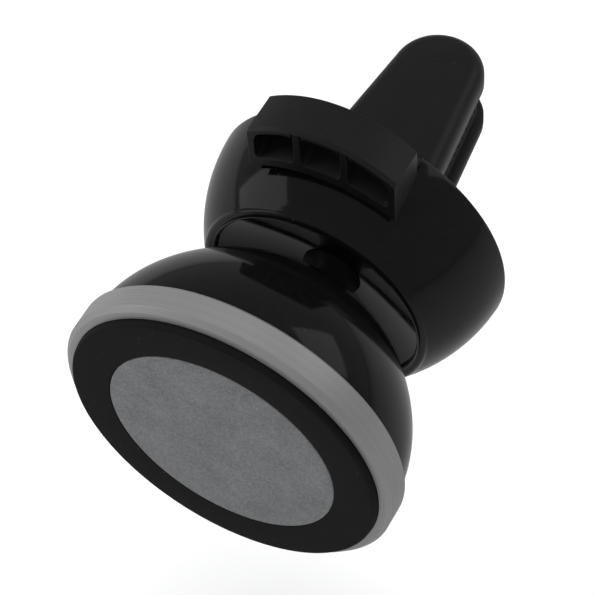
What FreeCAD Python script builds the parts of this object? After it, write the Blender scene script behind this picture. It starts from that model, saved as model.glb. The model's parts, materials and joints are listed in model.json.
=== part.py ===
import FreeCAD, Part
import math
import os

# Magnetic phone mount that clips on an air vent.
#
# The head, the bowl-shaped body and the two jaws lie along one line, the body axis.
# The model is drawn with Y measured backwards from the phone face, X to the right, Z up and
# the body axis at X = Z = 0. Each solid is then moved so that the origin is the middle of the
# grip between the jaws, where a vent blade is held. The phone face looks towards -Y.
# All sizes are millimetres and degrees.

Vec = FreeCAD.Vector
AXIS_Y = Vec(0, 1, 0)
REACH = 1.0                  # how far a cutting or joining solid runs past the face it meets
SAME = 1e-3                  # places closer than this are the same

# ---- head, from the phone face backwards ----
PAD_R = 20.0                 # outer radius of the rubber face pad
PAD_T = 1.6
PAD_EDGE = 0.4               # rounding of the pad's outer edge
DISC_R = 14.75               # round insert in the middle of the pad
SEAT_GAP = 0.05              # between pieces that sit in each other
RING_FRONT_Y = 0.95          # the aluminium ring's front lip
RING_LIP = 0.15
RING_CHAMFER = 0.6
RING_BACK_CHAMFER = 0.3
RING_WIDTH = 1.45
RING_R = PAD_R + SEAT_GAP + RING_WIDTH
CARRIER_T = 2.8              # magnet carrier
CARRIER_BACK_Y = PAD_T + CARRIER_T
MAGNET_R = 4.0
MAGNET_T = 2.5
MAGNET_COUNT = 6
MAGNET_PITCH_R = 9.2
POCKET_GAP = 0.1
YOKE_EDGE = 0.4              # of the steel plate outside the magnets
YOKE_R = MAGNET_PITCH_R + MAGNET_R + YOKE_EDGE
YOKE_T = 0.8
YOKE_BACK_Y = CARRIER_BACK_Y + YOKE_T
SPIGOT = 0.6                 # the ring reaches this far over the cup
RING_BACK_Y = CARRIER_BACK_Y + SPIGOT
HEAD_POST_R = 1.7
HEAD_SCREW_PITCH_R = PAD_R - 3.6
HEAD_SCREW_L = 7.0
POST_SINK = 0.2              # the cup's posts end this deep in its wall

# ---- screws ----
SCREW_R = 0.8
SCREW_HEAD_R = 1.5
SCREW_HEAD_T = 0.9
SCREW_L = 4.6
FRAME_SCREW_L = 3.6
HEAD_GAP = 0.1               # round a sunk screw head

# ---- ball joint ----
BALL_R = 5.5
JOINT_GAP = 0.05             # running clearance between the spherical pieces
LINER_T = 0.5
LINER_IN_R = BALL_R + JOINT_GAP
LINER_OUT_R = LINER_IN_R + LINER_T
SHELL_IN_R = LINER_OUT_R + JOINT_GAP
SHELL_OUT_R = SHELL_IN_R + LINER_T
CAVITY_R = SHELL_OUT_R + JOINT_GAP
LINER_HOLE_ANGLE = 42.0      # half angle of the holes in the inner liner
SHELL_HOLE_ANGLE = 47.0      # half angle of the holes in the outer liner
WAVE_T = 0.7
WAVE_GAP = 0.1
WAVE_IN_R = 6.2
SOCKET_WALL = 0.35           # in front of the ball's cavity
SOCKET_DEPTH = 5.6           # from the ball's centre to the socket's back
SOCKET_FRONT_Y = YOKE_BACK_Y + WAVE_T + WAVE_GAP
BALL_Y = SOCKET_FRONT_Y + SOCKET_WALL + CAVITY_R
SOCKET_BACK_Y = BALL_Y + SOCKET_DEPTH
SOCKET_SCREW_PITCH_R = CAVITY_R + SCREW_R + 0.85
SOCKET_SCREW_BITE = 1.4      # into the cup's nose
SOCKET_R = SOCKET_SCREW_PITCH_R + SCREW_HEAD_R + 0.7
WAVE_R = SOCKET_R - 0.9
STUD_SWING = 21.4            # largest tilt of the stud, both tilts together
STUD_SWING_GAP = 0.35
STUD_NECK_R = 2.5            # stud between the ball and the dish

# ---- cup behind the ring: a superellipse that closes towards the body ----
CUP_STEP = 0.8               # the cup is this much smaller than the ring
CUP_R = RING_R - CUP_STEP
CUP_NOSE = 5.3               # from the socket's back to where the curve would close
CUP_DEPTH = SOCKET_BACK_Y + CUP_NOSE - RING_BACK_Y
CUP_POWER = 1.84
CUP_WALL = 1.6
MOUTH_PLACE = 0.75           # the mouth is this share of the nose behind the socket

# ---- lever's pin and its spring ----
PIN_R = 1.0
PIN_GAP = 0.05
PIN_END = 0.1
CLIP_R = PIN_R + 0.6
CLIP_T = 0.5
WIRE_R = 0.35
WIRE_NEST = 0.93             # the turns lie this much closer than a wire's width
COIL_R = PIN_R + 0.4 + WIRE_R
COIL_TURNS = 7
LEG_SHIFT = 0.08             # the legs start this much inside the coil's mean circle
LEG_GAP = 0.05               # between the leg and the lever
LEG_END_Z = 5.0              # where the frame's leg ends
BOSS_R = PIN_R + 1.5
EAR_R = PIN_R + 1.2

# ---- body, which is as long as what it holds ----
CUP_REACH = 0.96             # the cup's curve would close this far inside the body
DRUM_FRONT_Y = RING_BACK_Y + CUP_DEPTH - CUP_REACH
DISH_DEPTH = 5.06
DISH_FLOOR_Y = DRUM_FRONT_Y + DISH_DEPTH
DISH_BOSS_T = 1.5
DISH_BOSS_Y = DISH_FLOOR_Y + DISH_BOSS_T
PIVOT_Y = DISH_BOSS_Y + WIRE_R + COIL_R
PIVOT_Z = 12.5
CLIP_ROOM = 0.1              # between the pin's clips and the frame
FRAME_Y = PIVOT_Y + CLIP_R + CLIP_ROOM
DRUM_TAIL = 2.37             # the body's wall behind the frame's front face
DRUM_BACK_Y = FRAME_Y + DRUM_TAIL
DRUM_FRONT_R = 15.05
DRUM_BACK_R = 19.45
DRUM_BULGE = 0.95            # how far the wall stands out of a straight cone, half way
DRUM_MID_Y = (DRUM_FRONT_Y + DRUM_BACK_Y) / 2
DRUM_MID_R = (DRUM_FRONT_R + DRUM_BACK_R) / 2 + DRUM_BULGE
DRUM_WALL = 1.6
DRUM_LIP = 0.7               # rounded front rim
LIP_BULGE = 0.2              # how far the rim stands forward
HOLLOW_MID_R = DRUM_MID_R - DRUM_WALL + 0.55
HOLLOW_MID_Y = DRUM_MID_Y + 1.3
LEDGE_Y = DISH_FLOOR_Y - 2.0
LEDGE_T = 1.4
LEDGE_R = DRUM_FRONT_R - 2.25
DISH_R = DRUM_FRONT_R - DRUM_LIP - SEAT_GAP
DISH_EDGE_Y = DRUM_FRONT_Y + 0.56
DISH_MID_R = 0.6 * DISH_R    # a point on the dish's arc, which sets how round it is
DISH_MID_Y = DISH_FLOOR_Y - 1.4
DISH_T = 1.4
DISH_BOSS_R = 6.0
FLANGE_R = 3.8
FLANGE_T = 0.8
FLANGE_Y = DISH_FLOOR_Y - FLANGE_T
SHANK_R = 2.0
WASHER_R = 4.0
WASHER_T = 0.5
NUT_Y = DISH_BOSS_Y + WASHER_T
NUT_FLATS = 6.5              # across the flats
NUT_T = 1.9
SHANK_END = 0.5              # shank that stands out of the nut

# ---- inner frame with the fixed jaw, and the rear cover ----
FRAME_T = 1.4
FRAME_BACK_Y = FRAME_Y + FRAME_T
FRAME_GAP = 0.2
COVER_Y = FRAME_BACK_Y + 0.15
COVER_T = 1.5
COVER_BACK_Y = COVER_Y + COVER_T
COVER_EDGE = 0.7
SCREW_PITCH_R = DRUM_BACK_R - 4.15
SCREW_POST_R = 1.9
POST_L = 6.0
POST_HOLE = 4.0
COVER_SCREW_ANGLES = (-15.0, -90.0, 195.0)
FRAME_SCREW_ANGLES = (-50.0, 230.0)

# ---- jaws ----
JAW_ROOT_Y = COVER_BACK_Y + 0.85   # where the jaws get their full width
JAW_ROOT_HALF = 7.95
JAW_LENGTH = 25.15
JAW_TIP_R = 5.85
JAW_TIP_Y = JAW_ROOT_Y + JAW_LENGTH
JAW_ROUND = 2.1              # rounding of the outer edges
JAW_T = 4.2
UPPER_LOW_Z = 4.6
UPPER_TOP_Z = UPPER_LOW_Z + JAW_T
LOWER_TOP_Z = -1.1
LOWER_LOW_Z = LOWER_TOP_Z - 3.9
GRIP_SLIT = 0.7              # between the rubber grips at rest
GRIP_T = (UPPER_LOW_Z - LOWER_TOP_Z - GRIP_SLIT) / 2
GRIP_INSET = 0.9
GRIP_ROOT_Y = JAW_ROOT_Y + 1.8

# ---- ears of the frame, one each side of the lever ----
ARM_HALF = 6.2               # half width of the lever at the pivot, and of the jaws' necks
EAR_IN = ARM_HALF + 0.3
EAR_T = 1.2
EAR_OUT = EAR_IN + EAR_T
PIN_HALF = EAR_OUT + SEAT_GAP + CLIP_T + PIN_END

# ---- openings that the jaws' necks pass through ----
SLOT_HALF = ARM_HALF + 0.5
FRAME_SLOT_LOW = UPPER_LOW_Z - 1.4
FRAME_SLOT_TOP = PIVOT_Z + BOSS_R - 0.5
COVER_SLOT_LOW = LOWER_LOW_Z - 0.9
COVER_SLOT_TOP = UPPER_TOP_Z + 1.8

# ---- lever: thumb tab, arm and upper jaw in one moulding ----
TAB_HALF = 9.52
TAB_FRONT_Y = PIVOT_Y - 5.15
TAB_BACK_Y = PIVOT_Y + 0.55
TAB_FLOOR_FRONT_R = DRUM_BACK_R - 0.4    # underside of the tab: a cone over the body's wall
TAB_FLOOR_BACK_R = DRUM_BACK_R + 1.6
TAB_TOP_Z = DRUM_BACK_R + 6.55
TAB_ARC_R = 16.2             # arc of the tab's top
TAB_ARC_Z = TAB_TOP_Z - TAB_ARC_R
TAB_SKIN = 0.9
TAB_FLOOR_T = 1.3
TAB_POCKETS = 3
TAB_RIB = 0.85
POCKET_DEPTH = 3.4
TAB_CHAMFER = 0.45
NECK_HALF = TAB_HALF - 1.22  # neck between the tab and the arm
NECK_FRONT_Y = PIVOT_Y - 2.5
NECK_LOW_Z = PIVOT_Z + 2.7
NOTCH_HALF = NECK_HALF + 0.35        # notch in the body's wall, open at the back
NOTCH_FRONT_Y = NECK_FRONT_Y - 1.5   # room for the neck to swing forward
NOTCH_LOW_Z = PIVOT_Z - 4.5
TONGUE_GAP = 0.15            # between the notch and the cover's tongue that closes it
TONGUE_FRONT_Y = TAB_BACK_Y + 0.4
SPRING_ROOM = 0.55           # round the spring's coil, in the lever
LEG_ROOM_Y = PIVOT_Y - 0.6   # the lever is open in front of this, for the frame's leg
ARM_FRONT_Y = PIVOT_Y - 1.2
ARM_BACK_Y = PIVOT_Y + 1.3
COIL_SLOT_HALF = ARM_HALF / 2

# ---- origin ----
GRIP_DEPTH = 12.35           # from the jaws' tips to where a vent blade is held
GRIP_CENTRE_Y = JAW_TIP_Y - GRIP_DEPTH
GRIP_CENTRE_Z = (LOWER_TOP_Z + UPPER_LOW_Z) / 2

BALL_CENTRE = Vec(0, BALL_Y, 0)


def box(low, high):
    """Box between two opposite corners."""
    size = [high[i] - low[i] for i in range(3)]
    return Part.makeBox(size[0], size[1], size[2], Vec(*low))


def rod(radius, start, end):
    """Round rod between two points."""
    start = Vec(*start)
    line = Vec(*end) - start
    return Part.makeCylinder(radius, line.Length, start, line)


def turned(first, *steps):
    """Solid turned round the Y axis.

    The outline starts at a (radius, y) corner. A step is another corner, reached by a straight
    edge; a list of two corners, reached by an arc through the first; or a tuple of many corners,
    reached by one smooth curve through them all.
    """
    edges = []
    here = first
    for step in list(steps) + [first]:
        if isinstance(step, list):
            middle, end = step
            arc = Part.Arc(Vec(*here, 0), Vec(*middle, 0), Vec(*end, 0))
            edges.append(arc.toShape())
        elif isinstance(step[0], tuple):
            curve = Part.BSplineCurve()
            curve.interpolate([Vec(*here, 0)] + [Vec(*corner, 0) for corner in step])
            end = step[-1]
            edges.append(curve.toShape())
        else:
            end = step
            edges.append(Part.LineSegment(Vec(*here, 0), Vec(*end, 0)).toShape())
        here = end
    face = Part.Face(Part.Wire(edges))
    return face.revolve(Vec(0, 0, 0), AXIS_Y, 360)


def ring(inner, outer, y_front, y_back):
    """Plain ring, or a disc if the inner radius is 0."""
    solid = Part.makeCylinder(outer, y_back - y_front, Vec(0, y_front, 0), AXIS_Y)
    if inner > 0:
        solid = solid.cut(Part.makeCylinder(inner, y_back - y_front, Vec(0, y_front, 0), AXIS_Y))
    return solid


def ball(radius):
    """Sphere round the centre of the ball joint."""
    return Part.makeSphere(radius, BALL_CENTRE)


def around(radius, angles):
    """Places (x, z) on a circle round the body axis."""
    return [(radius * math.cos(math.radians(a)), radius * math.sin(math.radians(a))) for a in angles]


def thirds(start):
    """Three angles, evenly spaced."""
    return [start + 120 * i for i in range(3)]


def screw(x, y_head, z, length, towards, radius=SCREW_R, head_radius=SCREW_HEAD_R):
    """Pan head screw along Y. The head's seat is at y_head and the shank goes to +Y or -Y."""
    shank = rod(radius, (x, y_head, z), (x, y_head + towards * length, z))
    head = rod(head_radius, (x, y_head, z), (x, y_head - towards * SCREW_HEAD_T, z))
    return head.fuse(shank).removeSplitter()


def group(solids):
    """Separate solids that share one node."""
    return Part.makeCompound(solids)


# ---------------------------------------------------------------- head

def face_pad():
    """Flat rubber ring that the phone rests on, with a rounded outer edge."""
    bend = PAD_EDGE * (1 - math.sqrt(0.5))
    inner = DISC_R + SEAT_GAP
    return turned((inner, 0), (PAD_R - PAD_EDGE, 0), [(PAD_R - bend, bend), (PAD_R, PAD_EDGE)],
                  (PAD_R, PAD_T), (inner, PAD_T))


def centre_disc():
    """Round insert, flush with the face pad."""
    return ring(0, DISC_R, 0, PAD_T)


def trim_ring():
    """Turned aluminium ring round the head, chamfered at the front and the back."""
    inner = PAD_R + SEAT_GAP
    return turned((inner, RING_FRONT_Y), (RING_R - RING_CHAMFER, RING_FRONT_Y + RING_LIP),
                  (RING_R, RING_FRONT_Y + RING_LIP + RING_CHAMFER), (RING_R, RING_BACK_Y - RING_BACK_CHAMFER),
                  (RING_R - RING_BACK_CHAMFER, RING_BACK_Y), (inner, RING_BACK_Y))


def cup_curve(radius, depth, y_start, radii):
    """Points of a superellipse: radius at y_start, closing to the axis one depth further."""
    points = []
    for r in radii:
        share = 1 - (r / radius) ** CUP_POWER
        points.append((r, y_start + depth * share ** (1 / CUP_POWER)))
    return points


def spread(first, last, count):
    """Numbers from first to last, closer together near the first, which is left out."""
    return [first + (last - first) * (i / count) ** 2 for i in range(1, count + 1)]


def stud_room(distance):
    """Radius that the tilting stud needs, this far behind the ball's centre."""
    swing = math.radians(STUD_SWING)
    return distance * math.tan(swing) + STUD_NECK_R / math.cos(swing) + STUD_SWING_GAP


def head_posts():
    """Posts inside the cup for the screws that hold the magnet carrier."""
    return [rod(HEAD_POST_R, (x, YOKE_BACK_Y, z), (x, SOCKET_BACK_Y, z))
            for x, z in around(HEAD_SCREW_PITCH_R, thirds(30))]


def head_cup():
    """Moulded cup behind the ring. Its thick nose holds the ball's socket."""
    mouth_r = stud_room(SOCKET_DEPTH + MOUTH_PLACE * CUP_NOSE)
    outer = cup_curve(CUP_R, CUP_DEPTH, RING_BACK_Y, spread(CUP_R, mouth_r, 9))
    inner_r = CUP_R - CUP_WALL
    inner_depth = CUP_DEPTH - CUP_WALL
    seat_share = ((SOCKET_BACK_Y - RING_BACK_Y) / inner_depth) ** CUP_POWER
    seat_r = inner_r * (1 - seat_share) ** (1 / CUP_POWER)
    inner = cup_curve(inner_r, inner_depth, RING_BACK_Y, spread(inner_r, seat_r, 7))
    web_r = stud_room(SOCKET_DEPTH)
    skirt = [(PAD_R, CARRIER_BACK_Y), (PAD_R, RING_BACK_Y), (CUP_R, RING_BACK_Y)]
    whole = turned((inner_r, CARRIER_BACK_Y), *skirt, tuple(outer), (web_r, SOCKET_BACK_Y),
                   (seat_r, SOCKET_BACK_Y), tuple(reversed([(inner_r, RING_BACK_Y)] + inner[:-1])))
    sunk_r = inner_r + POST_SINK
    filled = turned((0, CARRIER_BACK_Y), (sunk_r, CARRIER_BACK_Y), (sunk_r, RING_BACK_Y),
                    tuple((r - POST_SINK, y) for r, y in outer), (0, outer[-1][1]))
    for post in head_posts():
        whole = whole.fuse(post.common(filled))
    for x, z in around(HEAD_SCREW_PITCH_R, thirds(30)):
        whole = whole.cut(rod(SCREW_R, (x, PAD_T, z), (x, PAD_T + SCREW_HEAD_T + HEAD_SCREW_L, z)))
    for x, z in around(SOCKET_SCREW_PITCH_R, thirds(90)):
        whole = whole.cut(rod(SCREW_R, (x, SOCKET_BACK_Y, z), (x, SOCKET_BACK_Y + SOCKET_SCREW_BITE, z)))
    seat = ring(0, SOCKET_R + SEAT_GAP, SOCKET_FRONT_Y, SOCKET_BACK_Y)
    return whole.cut(seat).removeSplitter()


def magnet_places():
    """Centres of the magnets, as (x, z)."""
    return around(MAGNET_PITCH_R, [60 * i for i in range(MAGNET_COUNT)])


def magnet_carrier():
    """Moulded plate behind the pad, with a pocket for each magnet."""
    plate = ring(0, PAD_R, PAD_T, CARRIER_BACK_Y)
    pocket_y = CARRIER_BACK_Y - MAGNET_T
    for x, z in magnet_places():
        plate = plate.cut(rod(MAGNET_R + POCKET_GAP, (x, pocket_y, z), (x, CARRIER_BACK_Y, z)))
    for x, z in around(HEAD_SCREW_PITCH_R, thirds(30)):
        plate = plate.cut(rod(SCREW_R, (x, PAD_T, z), (x, CARRIER_BACK_Y, z)))
        plate = plate.cut(rod(SCREW_HEAD_R + HEAD_GAP, (x, PAD_T, z), (x, PAD_T + SCREW_HEAD_T, z)))
    return plate


def magnets():
    """Disc magnets, in a circle."""
    front = CARRIER_BACK_Y - MAGNET_T
    return group([rod(MAGNET_R, (x, front, z), (x, CARRIER_BACK_Y, z)) for x, z in magnet_places()])


def yoke_plate():
    """Steel plate that closes the magnets' field at the back."""
    return ring(0, YOKE_R, CARRIER_BACK_Y, YOKE_BACK_Y)


def carrier_screws():
    """Screws from the front of the magnet carrier into the cup."""
    seat = PAD_T + SCREW_HEAD_T
    return group([screw(x, seat, z, HEAD_SCREW_L, 1) for x, z in around(HEAD_SCREW_PITCH_R, thirds(30))])


def wave_washer():
    """Ring that presses the socket on the ball."""
    return ring(WAVE_IN_R, WAVE_R, YOKE_BACK_Y, YOKE_BACK_Y + WAVE_T)


def socket_screw_holes(solid):
    """Clearance holes for the socket's screws."""
    for x, z in around(SOCKET_SCREW_PITCH_R, thirds(90)):
        solid = solid.cut(rod(SCREW_R, (x, SOCKET_FRONT_Y, z), (x, SOCKET_BACK_Y, z)))
        sunk_y = SOCKET_FRONT_Y + SCREW_HEAD_T
        solid = solid.cut(rod(SCREW_HEAD_R, (x, SOCKET_FRONT_Y, z), (x, sunk_y, z)))
    return solid


def socket_front():
    """Front half of the ball's socket."""
    block = ring(0, SOCKET_R, SOCKET_FRONT_Y, BALL_Y)
    return socket_screw_holes(block.cut(ball(CAVITY_R)))


def socket_retainer():
    """Rear half of the socket, with a flared hole for the stud."""
    block = ring(0, SOCKET_R, BALL_Y, SOCKET_BACK_Y)
    flare = Part.makeCone(stud_room(0), stud_room(SOCKET_DEPTH), SOCKET_DEPTH,
                          BALL_CENTRE, AXIS_Y)
    return socket_screw_holes(block.cut(ball(CAVITY_R)).cut(flare))


def socket_screws():
    """Screws through both halves of the socket into the cup's nose."""
    seat = SOCKET_FRONT_Y + SCREW_HEAD_T
    length = SOCKET_BACK_Y + SOCKET_SCREW_BITE - seat
    return group([screw(x, seat, z, length, 1) for x, z in around(SOCKET_SCREW_PITCH_R, thirds(90))])


# ---------------------------------------------------------------- ball joint

def liner(inner, outer, hole_angle):
    """Spherical band between two radii, open at the front and the back."""
    reach = outer + REACH
    hole = reach * math.tan(math.radians(hole_angle))
    band = ball(outer).cut(ball(inner))
    for direction in (1, -1):
        band = band.cut(Part.makeCone(0, hole, reach, BALL_CENTRE, AXIS_Y * direction))
    return band


def ball_stud():
    """Steel ball with its neck, flange and shank."""
    neck = rod(STUD_NECK_R, (0, BALL_Y, 0), (0, FLANGE_Y, 0))
    flange = ring(0, FLANGE_R, FLANGE_Y, DISH_FLOOR_Y)
    shank = ring(0, SHANK_R, DISH_FLOOR_Y, NUT_Y + NUT_T + SHANK_END)
    return ball(BALL_R).fuse([neck, flange, shank]).removeSplitter()


def stud_washer():
    """Washer under the stud's nut."""
    return ring(SHANK_R, WASHER_R, DISH_BOSS_Y, NUT_Y)


def stud_nut():
    """Hexagon nut that holds the stud in the dish."""
    corner = NUT_FLATS / 2 / math.cos(math.radians(30))
    corners = [Vec(x, NUT_Y, z) for x, z in around(corner, [60 * i for i in range(6)])]
    face = Part.Face(Part.makePolygon(corners + corners[:1]))
    return face.extrude(AXIS_Y * NUT_T).cut(ring(0, SHANK_R, NUT_Y, NUT_Y + NUT_T))


# ---------------------------------------------------------------- body

def drum_outside():
    """The body's full outer form, without its hollow."""
    lip = DRUM_LIP / 2
    return turned((0, DRUM_FRONT_Y), (DRUM_FRONT_R - DRUM_LIP, DRUM_FRONT_Y),
                  [(DRUM_FRONT_R - lip, DRUM_FRONT_Y - LIP_BULGE), (DRUM_FRONT_R, DRUM_FRONT_Y)],
                  [(DRUM_MID_R, DRUM_MID_Y), (DRUM_BACK_R, DRUM_BACK_Y)], (0, DRUM_BACK_Y))


def drum_hollow():
    """What is taken out of the body behind the ledge."""
    return turned((0, LEDGE_Y), (LEDGE_R, LEDGE_Y), (LEDGE_R, LEDGE_Y + LEDGE_T),
                  (DRUM_FRONT_R, LEDGE_Y + LEDGE_T),
                  [(HOLLOW_MID_R, HOLLOW_MID_Y), (DRUM_BACK_R - DRUM_WALL, FRAME_Y)],
                  (DRUM_BACK_R - DRUM_WALL, DRUM_BACK_Y), (0, DRUM_BACK_Y))


def post_places(angles):
    """Centres of the body's screw posts, as (x, z)."""
    return around(SCREW_PITCH_R, angles)


def drum_shell():
    """Outer shell of the body, with the ledge for the dish, screw posts and the lever's notch."""
    outside = drum_outside()
    dish_room = ring(0, DISH_R + SEAT_GAP, DRUM_FRONT_Y - DRUM_LIP, LEDGE_Y)
    shell = outside.cut(drum_hollow()).cut(dish_room)
    for x, z in post_places(COVER_SCREW_ANGLES + FRAME_SCREW_ANGLES):
        post = rod(SCREW_POST_R, (x, FRAME_Y - POST_L, z), (x, FRAME_Y, z)).common(outside)
        shell = shell.fuse(post)
    for x, z in post_places(COVER_SCREW_ANGLES + FRAME_SCREW_ANGLES):
        shell = shell.cut(rod(SCREW_R, (x, FRAME_Y - POST_HOLE, z), (x, DRUM_BACK_Y, z)))
    notch = box((-NOTCH_HALF, NOTCH_FRONT_Y, NOTCH_LOW_Z),
                (NOTCH_HALF, DRUM_BACK_Y + REACH, DRUM_BACK_R + REACH))
    return shell.cut(notch).removeSplitter()


def dish():
    """Hollow front plate of the body, with a boss that holds the stud."""
    plate = turned((SHANK_R, DISH_FLOOR_Y), (FLANGE_R, DISH_FLOOR_Y),
                   [(DISH_MID_R, DISH_MID_Y), (DISH_R, DISH_EDGE_Y)], (DISH_R, LEDGE_Y),
                   (LEDGE_R - SEAT_GAP, LEDGE_Y),
                   [(DISH_MID_R, DISH_MID_Y + DISH_T), (DISH_BOSS_R, DISH_BOSS_Y)],
                   (SHANK_R, DISH_BOSS_Y))
    return plate


def frame_plate():
    """Disc of the inner frame, with the opening that the lever passes through."""
    plate = ring(0, DRUM_BACK_R - DRUM_WALL - FRAME_GAP, FRAME_Y, FRAME_BACK_Y)
    plate = plate.cut(box((-SLOT_HALF, FRAME_Y, FRAME_SLOT_LOW), (SLOT_HALF, FRAME_BACK_Y, FRAME_SLOT_TOP)))
    for x, z in post_places(COVER_SCREW_ANGLES):
        plate = plate.cut(rod(SCREW_R + HEAD_GAP, (x, FRAME_Y, z), (x, FRAME_BACK_Y, z)))
    for x, z in post_places(FRAME_SCREW_ANGLES):
        plate = plate.cut(rod(SCREW_R, (x, FRAME_Y, z), (x, FRAME_BACK_Y, z)))
        sunk_y = FRAME_BACK_Y - SCREW_HEAD_T
        plate = plate.cut(rod(SCREW_HEAD_R + HEAD_GAP, (x, sunk_y, z), (x, FRAME_BACK_Y, z)))
    return plate


def pivot_ear(side):
    """Ear of the frame that holds one end of the pivot pin."""
    x_in = side * EAR_IN
    x_out = side * EAR_OUT
    low_x, high_x = sorted((x_in, x_out))
    boss = rod(EAR_R, (x_in, PIVOT_Y, PIVOT_Z), (x_out, PIVOT_Y, PIVOT_Z))
    web = box((low_x, PIVOT_Y, PIVOT_Z - EAR_R), (high_x, FRAME_Y, PIVOT_Z + EAR_R))
    hole = rod(PIN_R, (low_x - REACH, PIVOT_Y, PIVOT_Z), (high_x + REACH, PIVOT_Y, PIVOT_Z))
    return boss.fuse(web).cut(hole)


def jaw_outline(inset, y_root, z):
    """Plan of a jaw: straight sides that draw in to a round tip, drawn in by an inset."""
    tip_r = JAW_TIP_R - inset
    centre_y = JAW_TIP_Y - JAW_TIP_R
    run = centre_y - JAW_ROOT_Y
    slope = math.atan2(JAW_ROOT_HALF - JAW_TIP_R, run)
    touch_x = tip_r * math.cos(slope)
    touch_y = centre_y + tip_r * math.sin(slope)
    root_x = touch_x + (touch_y - y_root) * math.tan(slope)
    sides = [Vec(-touch_x, touch_y, z), Vec(-root_x, y_root, z),
             Vec(root_x, y_root, z), Vec(touch_x, touch_y, z)]
    edges = [Part.LineSegment(sides[i], sides[i + 1]).toShape() for i in range(3)]
    tip = Part.Arc(sides[3], Vec(0, centre_y + tip_r, z), sides[0])
    return Part.Face(Part.Wire(edges + [tip.toShape()]))


def jaw(low_z, top_z, round_top):
    """Tapered paddle with a round tip and well rounded outer edges."""
    height = top_z - low_z
    blade = jaw_outline(0, JAW_ROOT_Y, low_z).extrude(Vec(0, 0, height))
    outer_z = top_z if round_top else low_z
    edges = [e for e in blade.Edges
             if abs(e.CenterOfMass.z - outer_z) < SAME and e.CenterOfMass.y > JAW_ROOT_Y + SAME]
    return blade.makeFillet(JAW_ROUND, edges)


def lower_jaw():
    """Inner frame and fixed lower jaw, in one moulding."""
    neck = box((-ARM_HALF, FRAME_Y, LOWER_LOW_Z), (ARM_HALF, JAW_ROOT_Y + REACH, LOWER_TOP_Z))
    blade = jaw(LOWER_LOW_Z, LOWER_TOP_Z, False)
    whole = frame_plate().fuse([neck, blade, pivot_ear(1), pivot_ear(-1)])
    return whole.removeSplitter()


def grip(low_z):
    """Rubber grip on the inner face of a jaw."""
    return jaw_outline(GRIP_INSET, GRIP_ROOT_Y, low_z).extrude(Vec(0, 0, GRIP_T))


def cover_tongue():
    """Curved tongue of the cover that closes the body's notch behind the lever's neck."""
    half = NOTCH_HALF - TONGUE_GAP
    blank = box((-half, TONGUE_FRONT_Y, NOTCH_LOW_Z), (half, DRUM_BACK_Y, DRUM_BACK_R + REACH))
    inside = ring(0, DRUM_BACK_R - DRUM_WALL, TONGUE_FRONT_Y - REACH, COVER_Y)
    return blank.common(drum_outside()).cut(inside)


def rear_cover():
    """Plate that closes the back of the body, with a tongue for the notch in its wall."""
    outer = DRUM_BACK_R - DRUM_WALL - SEAT_GAP
    back_y = COVER_BACK_Y
    plate = turned((0, COVER_Y), (outer, COVER_Y), (outer, DRUM_BACK_Y),
                   (outer - COVER_EDGE, back_y), (0, back_y))
    plate = plate.fuse(cover_tongue()).removeSplitter()
    plate = plate.cut(box((-SLOT_HALF, COVER_Y, COVER_SLOT_LOW), (SLOT_HALF, back_y, COVER_SLOT_TOP)))
    for x, z in post_places(COVER_SCREW_ANGLES):
        plate = plate.cut(rod(SCREW_R, (x, COVER_Y, z), (x, back_y, z)))
        plate = plate.cut(rod(SCREW_HEAD_R + HEAD_GAP, (x, back_y - SCREW_HEAD_T, z), (x, back_y, z)))
    return plate


def cover_screws():
    """Screws from the back, through the cover and the frame into the body's posts."""
    seat = COVER_BACK_Y - SCREW_HEAD_T
    return group([screw(x, seat, z, SCREW_L, -1) for x, z in post_places(COVER_SCREW_ANGLES)])


def frame_screws():
    """Screws that hold the inner frame in the body, under the rear cover."""
    seat = FRAME_BACK_Y - SCREW_HEAD_T
    return group([screw(x, seat, z, FRAME_SCREW_L, -1) for x, z in post_places(FRAME_SCREW_ANGLES)])


# ---------------------------------------------------------------- pivot

def pivot_pin():
    """Steel pin that the lever turns on."""
    return rod(PIN_R, (-PIN_HALF, PIVOT_Y, PIVOT_Z), (PIN_HALF, PIVOT_Y, PIVOT_Z))


def pin_clips():
    """Two clips that keep the pin in its ears."""
    clips = []
    for side in (1, -1):
        start = side * (EAR_OUT + SEAT_GAP)
        end = start + side * CLIP_T
        clip = rod(CLIP_R, (start, PIVOT_Y, PIVOT_Z), (end, PIVOT_Y, PIVOT_Z))
        clips.append(clip.cut(rod(PIN_R, (start, PIVOT_Y, PIVOT_Z), (end, PIVOT_Y, PIVOT_Z))))
    return group(clips)


def torsion_spring():
    """Close-wound spring round the pin: touching turns, with a leg at each end."""
    pitch = 2 * WIRE_R * WIRE_NEST
    first = -pitch * (COIL_TURNS - 1) / 2
    turns = []
    for i in range(COIL_TURNS):
        turn = Part.makeTorus(COIL_R, WIRE_R, Vec(first + pitch * i, PIVOT_Y, PIVOT_Z), Vec(1, 0, 0))
        turns.append(turn)
    back_y = PIVOT_Y + COIL_R - LEG_SHIFT
    front_y = PIVOT_Y - COIL_R + LEG_SHIFT
    lever_leg = rod(WIRE_R, (-first, back_y, PIVOT_Z), (-first, back_y, UPPER_TOP_Z + LEG_GAP))
    frame_leg = rod(WIRE_R, (first, front_y, PIVOT_Z), (first, front_y, LEG_END_Z))
    return turns[0].fuse(turns[1:] + [lever_leg, frame_leg]).removeSplitter()


# ---------------------------------------------------------------- lever

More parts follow.
